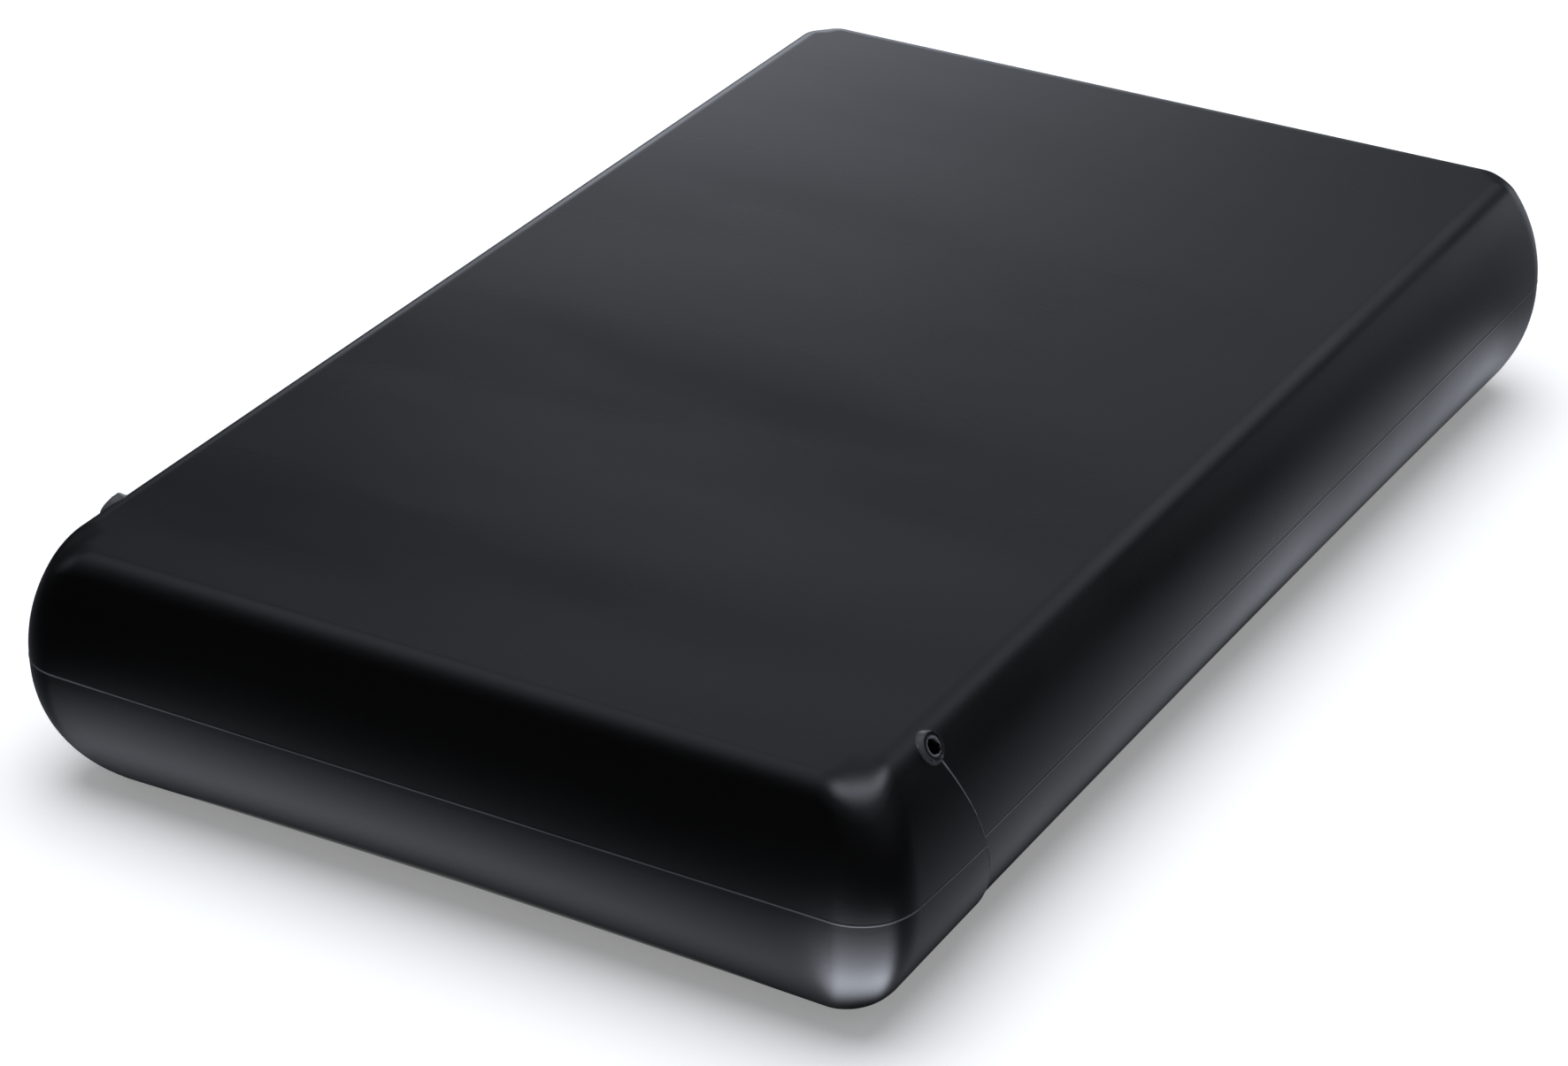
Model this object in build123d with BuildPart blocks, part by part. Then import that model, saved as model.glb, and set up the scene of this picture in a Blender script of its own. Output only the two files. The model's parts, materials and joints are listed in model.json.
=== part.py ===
from build123d import *
import math
import os

# Portable hard drive in a moulded rubber sleeve whose near end peels back over the socket.
# Millimetres. The origin lies under the middle of the sleeve, +Y runs to the closed end, +Z is up.

# The 2.5-inch drive
drive_length = 100.2
drive_width = 69.85

# Rubber corner dampers that hold the drive in its case
damper_side = 1.5
damper_face = 2.65
damper_end = 1.4
damper_lap = 9.0
damper_run = 12.0

# Hard case, split into a tray and a lid, with a port panel across its open front
case_wall = 1.2
case_low_radius = 4.0
case_high_radius = 2.5
case_end_radius = 2.2
case_clearance = 0.1
lip_wall = 0.55
lip_height = 1.0
lip_clearance = 0.05
panel_thickness = 1.6
panel_flange = 0.6
panel_groove = 0.5
panel_clearance = 0.1
bridge_bay = 11.4
case_screw_inset = 5.6
case_screw_setback = 4.8
case_screw_radius = 1.1
case_screw_head = 2.1
case_screw_head_height = 1.0
case_screw_length = 11.0
case_boss_radius = 2.5
screw_clearance = 0.1

# Rubber sleeve: its walls, the bulge of its sides and the rounding of its edges
rubber_side = 3.775
rubber_face = 3.0
rubber_end = 3.9
widest_height = 12.6
top_inset = 3.4
bottom_inset = 7.0
corner_radius = 5.0
top_radius = 2.4
bottom_radius = 2.0

# Peel-back end: a hinge across the top and a slit that slants down the sides and under the floor
hinge_setback = 12.0
port_setback = 1.2
slit_run = 9.45
slit_gap = 0.22
flap_wall = 4.6
flap_splay = 0.35
stop_drop = 1.2
stop_hole_radius = 0.87
stop_hole_depth = 6.4
stop_collar_radius = 1.55
stop_collar_rise = 0.5
stop_collar_drop = 0.25

# Bridge board between the port panel and the drive
board_thickness = 1.2
board_side_gap = 8.625
board_gap = 0.3
board_post_radius = 2.2
board_post_spread = 26.0
board_post_setback = 2.6
small_screw_radius = 0.8
small_screw_head = 1.6
small_screw_head_height = 0.5
small_screw_length = 2.2
bridge_chip_size = 7.0
bridge_chip_height = 0.9
bridge_chip_side_gap = 4.8
bridge_chip_inset = 0.4
crystal_length = 5.0
crystal_width = 3.2
crystal_height = 1.1
crystal_radius = 0.8
crystal_x = -4.0
capacitor_length = 1.8
capacitor_width = 1.2
capacitor_height = 0.9
capacitor_count = 4
capacitor_pitch = 2.0
capacitor_x = 2.4

# Small socket for the lead
usb_side_gap = 5.6
usb_width = 7.7
usb_height = 3.9
usb_depth = 9.2
usb_chamfer = 1.0
usb_skin = 0.4
usb_recess = 0.4
usb_cutout_gap = 0.3
usb_tongue_width = 4.6
usb_tongue_height = 1.0
usb_tongue_length = 5.6
usb_back = 1.6

# Plug on the drive and the socket that reaches into it
plug_width = 39.0
plug_x = -1.0
plug_depth = 6.5
plug_height = 3.2
plug_skin = 0.7
plug_cavity_depth = 5.0
plug_tongue = 0.6
plug_tongue_inset = 1.0
plug_tongue_reach = 4.4
plug_gap = 0.1
plug_notch_gap = 0.3
socket_reach = 4.2
socket_body = 3.2

# Drive castings and boards
board_lift = 0.6
drive_board_thickness = 0.8
drive_board_length = 45.0
drive_board_gap = 0.3
board_bay_depth = 2.2
board_bay_wall = 2.6
base_floor = 1.2
front_wall = 9.0
side_wall = 2.1
rim_wall = 1.525
platter_wall_gap = 0.9
gasket_thickness = 0.2
gasket_inset = 0.3
cover_thickness = 0.8
cover_inset = 0.2
base_corner_radius = 2.0
cover_screw_inset = 4.0
cover_screw_radius = 1.0
cover_screw_head = 1.9
cover_screw_head_height = 0.45
cover_screw_length = 4.0
board_screw_inset = 5.725
board_screw_near = 5.0
board_screw_setback = 3.5
board_boss_radius = 1.8
controller_size = 14.0
controller_place = (-8.0, 24.0)
memory_size = (8.0, 11.0)
memory_place = (12.0, 25.0)
driver_size = 7.0
driver_x = 3.0
driver_setback = 7.0
chip_height = 0.7

# Spindle, from its bearing out to the platters
platter_bore = 10.0
platter_thickness = 0.635
platter_spacing = 1.56
platter_lift = 1.2
platter_rear_gap = 2.7
hub_flange_width = 2.0
hub_flange_height = 0.65
hub_wall = 1.6
hub_roof_height = 1.25
hub_clearance = 0.02
clamp_height = 0.6
clamp_chamfer = 0.3
clamp_seat = 0.08
clamp_screw_radius = 1.0
clamp_screw_head = 2.6
clamp_screw_head_height = 0.4
clamp_screw_length = 2.0
clamp_cover_gap = 0.27
shaft_radius = 1.5
shaft_clearance = 0.03
bearing_wall = 1.67
bearing_end = 0.4
stator_ring_wall = 1.1
stator_gap = 0.3
stator_teeth = 9
tooth_width = 1.0
stator_height = 1.2
magnet_ring_wall = 0.7
magnet_ring_height = 1.8
rotor_gap = 0.1

# Actuator: a pivot, three arms, a coil and the heads
pivot_platter_gap = 11.5
head_setback = 7.5
park_gap = 1.1
inner_gap = 2.0
pivot_post_radius = 1.75
pivot_spigot_radius = 1.2
pivot_clearance = 0.05
pivot_bearing_wall = 2.4
arm_hub_wall = 2.2
arm_root_half = 5.0
arm_tip_half = 2.4
suspension_free = 11.5
end_arm_thickness = 0.6
suspension_thickness = 0.15
suspension_lap = 5.0
suspension_tab = 2.2
suspension_tip_half = 0.5
slider_length = 1.2
slider_width = 1.0
slider_thickness = 0.16
head_clearance = 0.05

# Voice coil behind the pivot, the magnets above and below it, and its stops
coil_angle = 205.0
coil_hub_gap = 1.4
coil_depth = 6.4
coil_half_angle = 22.0
coil_band = 1.9
coil_thickness = 1.0
fork_wall = 0.8
fork_half_angle = 26.5
coil_gap = 0.25
voice_magnet_thickness = 0.8
voice_magnet_lead = 2.4
yoke_hub_gap = 1.0
yoke_side_gap = 0.325
yoke_front_gap = 0.55
yoke_cover_gap = 0.1
yoke_post_radius = 1.2
yoke_post_inset = 2.1
yoke_end_wall = 0.3
stop_gap = 0.28
stop_ring_wall = 0.4
stop_ring_height = 1.6

# Loading ramp at the rim of the platters, ribbon bracket and air filter
ramp_lead = 1.0
ramp_tip_gap = 0.7
ramp_back = 4.1
ramp_first_angle = -9.0
ramp_last_angle = 0.9
ramp_slot_gap = 0.1
ramp_slot_run = 1.0
ramp_cover_gap = 0.3
bracket_length = 16.0
bracket_width = 7.0
bracket_height = 2.4
bracket_radius = 1.4
bracket_place = (13.0, 6.5)
ribbon_thickness = 0.2
ribbon_height = 3.0
ribbon_bow = 1.8
ribbon_turn = 58.0
ribbon_gap = 0.6
filter_size = 8.0
filter_height = 3.6
filter_radius = 1.0
filter_side_gap = 1.225
filter_setback = 12.0

# Height of the drive: the board bay, the floor of the tub, the platters with their clamp, and the cover
platter_stack = 2 * platter_thickness + platter_spacing
clamp_stack = clamp_height + clamp_screw_head_height + clamp_cover_gap
drive_height = board_bay_depth + base_floor + platter_lift + platter_stack + clamp_stack + cover_thickness

# Sizes of the case and the sleeve round the drive
case_width = drive_width + 2 * (damper_side + case_wall)
case_height = drive_height + 2 * (damper_face + case_wall)
sleeve_width = case_width + 2 * (case_clearance + rubber_side)
sleeve_height = case_height + 2 * (case_clearance + rubber_face)
port_recess = hinge_setback + port_setback
case_length = panel_thickness + bridge_bay + drive_length + damper_end + case_wall
sleeve_length = port_recess + case_length + case_clearance + rubber_end
near_end = -sleeve_length / 2
hinge_y = near_end + hinge_setback
slit_bottom_y = hinge_y + slit_run
case_front = near_end + port_recess
case_rear = case_front + case_length
case_under = rubber_face + case_clearance
case_over = case_under + case_height
case_split = (case_under + case_over) / 2
tray_floor = case_under + case_wall
drive_front = case_front + panel_thickness + bridge_bay
drive_rear = drive_front + drive_length
drive_under = tray_floor + damper_face
drive_over = drive_under + drive_height

# Levels inside the drive
drive_board_under = drive_under + board_lift
drive_board_over = drive_board_under + drive_board_thickness
bay_roof = drive_under + board_bay_depth
tub_floor = bay_roof + base_floor
cover_under = drive_over - cover_thickness
rim_level = cover_under - gasket_thickness
lower_platter_under = tub_floor + platter_lift
lower_platter_over = lower_platter_under + platter_thickness
upper_platter_under = lower_platter_over + platter_spacing
upper_platter_over = upper_platter_under + platter_thickness

# Radii about the pivot and about the spindle, from the inside out
pivot_bearing_radius = pivot_post_radius + pivot_clearance + pivot_bearing_wall
hub_radius = pivot_bearing_radius + arm_hub_wall
coil_inner = hub_radius + coil_hub_gap
coil_outer = coil_inner + coil_depth
yoke_inner = hub_radius + yoke_hub_gap
yoke_outer = coil_outer + fork_wall
yoke_post_reach = yoke_outer - yoke_post_inset
bearing_radius = shaft_radius + shaft_clearance + bearing_wall
hub_cup_radius = platter_bore - hub_wall
stator_ring = bearing_radius + stator_ring_wall
stator_reach = hub_cup_radius - magnet_ring_wall - stator_gap
hub_flange_radius = platter_bore + hub_flange_width

# The pivot stands as near the side as its yokes allow, and the platters are the largest that still fit:
# by the width, or by the length, which holds a platter, the line from spindle to pivot, and the yokes
drive_half = drive_width / 2
spindle_x = 0.0
pivot_x = side_wall + yoke_side_gap + yoke_outer - drive_half
free_length = drive_length - platter_rear_gap - front_wall - yoke_front_gap - yoke_outer
fitting_square = free_length**2 - pivot_platter_gap**2 + pivot_x**2
platter_by_length = fitting_square / (2 * (free_length + pivot_platter_gap))
platter_radius = min(drive_half - rim_wall - platter_wall_gap, platter_by_length)
pivot_distance = platter_radius + pivot_platter_gap
spindle_y = drive_rear - platter_rear_gap - platter_radius
pivot_y = spindle_y - math.sqrt(pivot_distance**2 - pivot_x**2)

# Places of the head along its arm and across the platter
head_reach = pivot_distance - head_setback
arm_reach = head_reach - suspension_free
park_radius = platter_radius + park_gap
inner_track = hub_flange_radius + inner_gap

# Swing of the arm: the angle at the pivot between the spindle and the head, for a radius on the platter
def head_angle(track):
    cosine = (pivot_distance**2 + head_reach**2 - track**2) / (2 * pivot_distance * head_reach)
    return math.degrees(math.acos(cosine))


spindle_bearing = math.degrees(math.atan2(spindle_y - pivot_y, spindle_x - pivot_x))
park_angle = spindle_bearing - head_angle(park_radius)
swing = head_angle(park_radius) - head_angle(inner_track)
coil_mid_angle = park_angle + coil_angle + swing / 2
stop_reach = yoke_post_radius + stop_ring_wall + stop_gap
voice_magnet_half_angle = swing / 2 + coil_half_angle + voice_magnet_lead
yoke_post_half_angle = swing / 2 + fork_half_angle + math.degrees(stop_reach / yoke_post_reach)
yoke_half_angle = yoke_post_half_angle + math.degrees((yoke_post_radius + yoke_end_wall) / yoke_post_reach)
head_stack = head_clearance + slider_thickness + suspension_thickness
arm_levels = (
    (lower_platter_under - head_stack - end_arm_thickness, lower_platter_under - head_stack),
    (lower_platter_over + head_stack, upper_platter_under - head_stack),
    (upper_platter_over + head_stack, upper_platter_over + head_stack + end_arm_thickness),
)
head_sides = (
    (lower_platter_under, -1),
    (lower_platter_over, 1),
    (upper_platter_under, -1),
    (upper_platter_over, 1),
)
coil_level = (arm_levels[1][0] + arm_levels[1][1]) / 2

# Levels and places on the bridge board
plug_under = drive_board_over
plug_over = plug_under + plug_height
board_over = plug_under
board_under = board_over - board_thickness
board_front = case_front + panel_thickness + board_gap
board_rear = drive_front - damper_end - board_gap
board_half = case_width / 2 - board_side_gap
usb_x = board_half - usb_side_gap
bridge_chip_x = bridge_chip_side_gap - board_half
bridge_chip_y = board_front + bridge_chip_inset + bridge_chip_size / 2
board_post_y = board_front + board_post_setback
small_hole_radius = small_screw_radius + screw_clearance
case_screw_x = case_width / 2 - case_screw_inset
case_screw_y = case_front + panel_thickness + case_screw_setback

parts_folder = "parts"
os.makedirs(parts_folder, exist_ok=True)


def save(builder, name):
    builder.part.label = name
    export_step(builder.part, os.path.join(parts_folder, name + ".step"))


# A box given by its two corners
def block(low, high, mode=Mode.ADD):
    with Locations(tuple((a + b) / 2 for a, b in zip(low, high))):
        Box(*[b - a for a, b in zip(low, high)], mode=mode)


# An upright cylinder given by its place, radius and the levels of its ends
def rod(place, radius, low, high, mode=Mode.ADD):
    with Locations((place[0], place[1], (low + high) / 2)):
        Cylinder(radius, high - low, mode=mode)


# A flat ring sector about the origin, between two radii and two angles
def sector(inner, outer, first, last):
    with BuildSketch() as shape:
        with BuildLine():
            rim = CenterArc((0, 0), outer, first, last - first)
            root = CenterArc((0, 0), inner, first, last - first)
            Line(rim @ 0, root @ 0)
            Line(rim @ 1, root @ 1)
        make_face()
    return shape.sketch


# What is left of a form between two corners
def portion(form, low, high):
    with BuildPart() as cut:
        add(form)
        block(low, high, mode=Mode.INTERSECT)
    return cut.part


# Section of the sleeve: flat floor and top, sides of two arcs that stand upright at the widest height
def bulged_section(half, over_inset, under_inset):
    with BuildSketch() as section:
        with BuildLine():
            Line((0, 0), (half - under_inset, 0))
            TangentArc((half, widest_height), (half - under_inset, 0), tangent=(0, -1))
            TangentArc((half, widest_height), (half - over_inset, sleeve_height), tangent=(0, 1))
            Line((half - over_inset, sleeve_height), (0, sleeve_height))
            mirror(about=Plane.YZ)
        make_face()
    return section.sketch


# Outer form of the rubber: the section along the length cut by the same section across, then rounded
def moulded_form(splay):
    half_width = sleeve_width / 2 + splay
    half_length = sleeve_length / 2
    across = bulged_section(half_width, top_inset + splay, bottom_inset + splay / 2)
    along = bulged_section(half_length, top_inset + splay, bottom_inset + splay / 2)
    with BuildPart() as form:
        with BuildSketch(Plane.XZ):
            add(across)
        extrude(amount=half_length, both=True)
        with BuildSketch(Plane.YZ):
            add(along)
        extrude(amount=half_width, both=True, mode=Mode.INTERSECT)
        fillet(form.edges().filter_by(lambda edge: edge.bounding_box().size.Z > 1), corner_radius)
        fillet(form.faces().sort_by(Axis.Z)[-1].edges(), top_radius)
        fillet(form.faces().sort_by(Axis.Z)[0].edges(), bottom_radius)
    return form.part


# Outer form of the hard case from a given front, grown or shrunk evenly on its other sides
def case_form(front, rear, grow):
    low = case_under - grow
    high = case_over + grow
    with BuildPart() as form:
        with BuildSketch(Plane.XZ.offset(-front)) as face:
            with Locations((0, (low + high) / 2)):
                Rectangle(case_width + 2 * grow, high - low)
            fillet(face.vertices().group_by(Axis.Y)[0], case_low_radius + grow)
            fillet(face.vertices().group_by(Axis.Y)[-1], case_high_radius + grow)
        extrude(amount=front - rear - grow)
        fillet(form.faces().sort_by(Axis.Y)[-1].edges(), case_end_radius + grow)
    return form.part


# Plane of the slit through the hinge line and a line under the floor, facing the closed end
def slit_plane(bottom_y):
    along = Vector(0, bottom_y - hinge_y, -sleeve_height)
    return Plane(origin=(0, hinge_y, sleeve_height), x_dir=(1, 0, 0), z_dir=along.cross(Vector(-1, 0, 0)))


# Tear-stop at each end of the hinge: its place on the bulged side and its axis, square to the side
def stop_plane(side):
    stop_height = sleeve_height - stop_drop
    rise = stop_height - widest_height
    arc_rise = sleeve_height - widest_height
    arc_radius = (arc_rise**2 + top_inset**2) / (2 * top_inset)
    lean = math.asin(rise / arc_radius)
    x = sleeve_width / 2 - arc_radius * (1 - math.cos(lean))
    y = hinge_y + slit_run * stop_drop / sleeve_height
    normal = (side * math.cos(lean), 0, math.sin(lean))
    return Plane(origin=(side * x, y, stop_height), x_dir=(0, 1, 0), z_dir=normal)


# A pair of rods on the tear-stops' axes, from a rise above the side down to a depth under it
def stop_rods(radius, rise, depth):
    with BuildPart() as rods:
        for side in (-1, 1):
            with BuildSketch(stop_plane(side).offset(rise)):
                Circle(radius)
            extrude(amount=-rise - depth)
    return rods.part


# Rubber sleeve and its peel-back end, cut from the same moulding; the collars end just under the top
room = (sleeve_width, sleeve_length, sleeve_height)
pocket = case_form(near_end + flap_wall, case_rear, case_clearance)
stop_collars = portion(
    stop_rods(stop_collar_radius, stop_collar_rise, rubber_face / 2),
    (-room[0], -room[1], 0),
    (room[0], room[1], room[2] - stop_collar_drop),
)
stop_holes = stop_rods(stop_hole_radius, 2 * stop_collar_rise, stop_hole_depth)
for node, splay, cut, kept in (
    ("rubber_sleeve", 0, slit_plane(slit_bottom_y), Keep.TOP),
    ("end_flap", flap_splay, slit_plane(slit_bottom_y - slit_gap), Keep.BOTTOM),
):
    outer = moulded_form(splay)
    with BuildPart() as rubber:
        add(outer)
        add(stop_collars)
        add(pocket, mode=Mode.SUBTRACT)
        add(stop_holes, mode=Mode.SUBTRACT)
        split(bisect_by=cut, keep=kept)
    save(rubber, node)


# A screw given by its place, the level its head seats on and the way its head faces
def screw(place, seat, way, radius, head, head_height, length):
    rod(place, head, *sorted((seat, seat + way * head_height)))
    rod(place, radius, *sorted((seat, seat - way * length)))


# Hard case: the joint between tray and lid has a lip, and a groove in both takes the panel's flange
case_outer = case_form(case_front, case_rear, 0)
case_inner = case_form(case_front, case_rear, -case_wall)
lip_front = case_front + panel_thickness
lip_outer = case_form(lip_front, case_rear, lip_wall - case_wall)
lip_room = case_form(lip_front - lip_clearance, case_rear, lip_wall + lip_clearance - case_wall)
lip_recess = portion(
    lip_room,
    (-room[0], -room[1], 0),
    (room[0], room[1], case_split + lip_height + lip_clearance),
)
flange_front = case_front + (panel_thickness - panel_flange) / 2
flange_room = portion(
    case_form(case_front, case_rear, panel_groove - case_wall),
    (-room[0], flange_front - panel_clearance, 0),
    (room[0], flange_front + panel_flange + panel_clearance, room[2]),
)
case_screw_places = [(side * case_screw_x, case_screw_y) for side in (-1, 1)]
case_screw_seat = case_under + case_wall
board_post_places = [(side * board_post_spread / 2, board_post_y) for side in (-1, 1)]

with BuildPart() as case_tray:
    add(portion(case_outer, (-room[0], -room[1], 0), (room[0], room[1], case_split)))
    add(portion(lip_outer, (-room[0], -room[1], case_under), (room[0], room[1], case_split + lip_height)))
    add(case_inner, mode=Mode.SUBTRACT)
    add(flange_room, mode=Mode.SUBTRACT)
    for place in case_screw_places:
        rod(place, case_boss_radius, tray_floor, case_split)
    for place in board_post_places:
        rod(place, board_post_radius, tray_floor, board_under)
    for place in case_screw_places:
        rod(place, case_screw_radius + screw_clearance, case_under, case_split, mode=Mode.SUBTRACT)
        rod(place, case_screw_head + screw_clearance, 0, case_screw_seat, mode=Mode.SUBTRACT)
    for place in board_post_places:
        rod(place, small_screw_radius, board_under - small_screw_length, board_under, mode=Mode.SUBTRACT)
save(case_tray, "case_tray")

with BuildPart() as case_lid:
    add(portion(case_outer, (-room[0], -room[1], case_split), room))
    add(case_inner, mode=Mode.SUBTRACT)
    add(lip_recess, mode=Mode.SUBTRACT)
    add(flange_room, mode=Mode.SUBTRACT)
    for place in case_screw_places:
        rod(place, case_boss_radius, case_split, case_over - case_wall)
        rod(place, case_screw_radius, case_split, case_screw_seat + case_screw_length, mode=Mode.SUBTRACT)
save(case_lid, "case_lid")

with BuildPart() as case_screws:
    for place in case_screw_places:
        screw(
            place,
            case_screw_seat,
            -1,
            case_screw_radius,
            case_screw_head,
            case_screw_head_height,
            case_screw_length,
        )
save(case_screws, "case_screws")

# Port panel across the front of the case
panel_plate = portion(
    case_form(case_front, case_rear, -case_wall - panel_clearance),
    (-room[0], case_front, 0),
    (room[0], case_front + panel_thickness, room[2]),
)
panel_rim = portion(
    case_form(case_front, case_rear, panel_groove - panel_clearance - case_wall),
    (-room[0], flange_front, 0),
    (room[0], flange_front + panel_flange, room[2]),
)
usb_half = usb_width / 2 + usb_cutout_gap
with BuildPart() as port_panel:
    add(panel_plate)
    add(panel_rim)
    block(
        (usb_x - usb_half, case_front, board_over - usb_cutout_gap),
        (usb_x + usb_half, case_front + panel_thickness, board_over + usb_height + usb_cutout_gap),
        mode=Mode.SUBTRACT,
    )
save(port_panel, "port_panel")

# Rubber blocks that hug the four corners of the drive inside the case
for end, y_range in (
    ("front", (drive_front - damper_end, drive_front + damper_run)),
    ("rear", (drive_rear - damper_run, drive_rear + damper_end)),
):
    for side_name, side in (("left", -1), ("right", 1)):
        x_range = sorted((side * (drive_half - damper_lap), side * (drive_half + damper_side)))
        with BuildPart() as damper:
            block(
                (x_range[0], y_range[0], tray_floor),
                (x_range[1], y_range[1], case_over - case_wall),
            )
            add(case_inner, mode=Mode.INTERSECT)
            block(
                (-drive_half, drive_front, drive_under),
                (drive_half, drive_rear, drive_over),
                mode=Mode.SUBTRACT,
            )
        save(damper, end + "_" + side_name + "_damper")

# Bridge board and what is soldered to it
with BuildPart() as bridge_board:
    block((-board_half, board_front, board_under), (board_half, board_rear, board_over))
    for place in board_post_places:
        rod(place, small_hole_radius, board_under, board_over, mode=Mode.SUBTRACT)
save(bridge_board, "bridge_board")

with BuildPart() as bridge_screws:
    for place in board_post_places:
        screw(
            place,
            board_over,
            1,
            small_screw_radius,
            small_screw_head,
            small_screw_head_height,
            small_screw_length,
        )
save(bridge_screws, "bridge_screws")

with BuildPart() as bridge_chip:
    with Locations((bridge_chip_x, bridge_chip_y, board_over + bridge_chip_height / 2)):
        Box(bridge_chip_size, bridge_chip_size, bridge_chip_height)
save(bridge_chip, "bridge_chip")

with BuildPart() as clock_crystal:
    with Locations((crystal_x, board_post_y, board_over + crystal_height / 2)):
        Box(crystal_length, crystal_width, crystal_height)
    fillet(clock_crystal.edges().filter_by(Axis.Z), crystal_radius)
save(clock_crystal, "clock_crystal")

with BuildPart() as bridge_capacitors:
    for step in range(capacitor_count):
        x = capacitor_x + step * capacitor_pitch
        with Locations((x, board_post_y, board_over + capacitor_height / 2)):
            Box(capacitor_width, capacitor_length, capacitor_height)
save(bridge_capacitors, "bridge_capacitors")

# Small socket: a folded metal shell with two cut corners, and a tongue inside it
usb_mouth = case_front + usb_recess
usb_rear = usb_mouth + usb_depth
usb_middle = board_over + usb_height / 2


# Section of the shell shrunk by a margin
def usb_section(margin):
    with BuildSketch() as section:
        with Locations((usb_x, usb_middle)):
            Rectangle(usb_width - 2 * margin, usb_height - 2 * margin)
        chamfer(section.vertices().group_by(Axis.Y)[0], usb_chamfer)
    return section.sketch


usb_outside = usb_section(0)
usb_inside = usb_section(usb_skin)
with BuildPart() as usb_shell:
    with BuildSketch(Plane.XZ.offset(-usb_rear)):
        add(usb_outside)
    extrude(amount=usb_depth)
    with BuildSketch(Plane.XZ.offset(usb_skin - usb_rear)):
        add(usb_inside)
    extrude(amount=usb_depth, mode=Mode.SUBTRACT)
save(usb_shell, "usb_shell")

with BuildPart() as usb_insulator:
    with BuildSketch(Plane.XZ.offset(usb_skin - usb_rear)):
        add(usb_inside)
    extrude(amount=usb_back)
    with Locations((usb_x, usb_rear - usb_skin - usb_back - usb_tongue_length / 2, usb_middle)):
        Box(usb_tongue_width, usb_tongue_length, usb_tongue_height)
save(usb_insulator, "usb_insulator")

# Plug on the drive: a shell with a tongue in its mouth, and the socket that fills the mouth around it
plug_half = plug_width / 2
mouth_half = plug_half - plug_skin
mouth_under = plug_under + plug_skin
mouth_over = plug_over - plug_skin
mouth_rear = drive_front + plug_cavity_depth
tongue_half = mouth_half - plug_tongue_inset
tongue_under = (mouth_under + mouth_over - plug_tongue) / 2
tongue_front = mouth_rear - plug_tongue_reach
tongue_low = (plug_x - tongue_half, tongue_front, tongue_under)
tongue_high = (plug_x + tongue_half, mouth_rear, tongue_under + plug_tongue)
with BuildPart() as drive_plug:
    block(
        (plug_x - plug_half, drive_front, plug_under),
        (plug_x + plug_half, drive_front + plug_depth, plug_over),
    )
    block(
        (plug_x - mouth_half, drive_front, mouth_under),
        (plug_x + mouth_half, mouth_rear, mouth_over),
        mode=Mode.SUBTRACT,
    )
    block(tongue_low, tongue_high)
save(drive_plug, "drive_plug")

with BuildPart() as drive_socket:
    block(
        (plug_x - plug_half, drive_front - socket_body, plug_under),
        (plug_x + plug_half, drive_front - plug_gap, plug_over),
    )
    block(
        (plug_x - mouth_half + plug_gap, drive_front - plug_gap, mouth_under + plug_gap),
        (plug_x + mouth_half - plug_gap, drive_front + socket_reach, mouth_over - plug_gap),
    )
    block(
        [value - plug_gap for value in tongue_low],
        [value + plug_gap for value in tongue_high],
        mode=Mode.SUBTRACT,
    )
save(drive_socket, "drive_socket")

# Drive base: a cast tub for the platters and the arm, with a bay under it for the board
spindle = (spindle_x, spindle_y)
pivot = (pivot_x, pivot_y)
corner_x = drive_half - cover_screw_inset
corner_screw_places = [
    (side * corner_x, y)
    for side in (-1, 1)
    for y in (drive_front + cover_screw_inset, drive_rear - cover_screw_inset)
]
cover_screw_places = corner_screw_places + [pivot]
cover_screw_seat = drive_over - cover_screw_head_height
cover_screw_end = cover_screw_seat - cover_screw_length
board_screw_places = [
    (side * (drive_half - board_screw_inset), drive_front + y)
    for side in (-1, 1)
    for y in (board_screw_near, drive_board_length - board_screw_setback)
]
board_screw_end = drive_board_under + small_screw_length + screw_clearance


# Plan of the tub's inside, grown by a margin: round about the spindle, square in front of it
def tub_plan(margin):
    half = drive_half - side_wall + margin
    front = drive_front + front_wall - margin
    with BuildSketch() as plan:
        with Locations(spindle):
            Circle(platter_radius + platter_wall_gap + margin)
        with Locations((0, (front + spindle_y) / 2)):
            Rectangle(2 * half, spindle_y - front)
    return plan.sketch


# Plan of the drive's outside, shrunk by a margin
def drive_plan(margin):
    with BuildSketch() as plan:
        with Locations((0, (drive_front + drive_rear) / 2)):
            RectangleRounded(drive_width - 2 * margin, drive_length - 2 * margin, base_corner_radius)
    return plan.sketch


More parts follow.
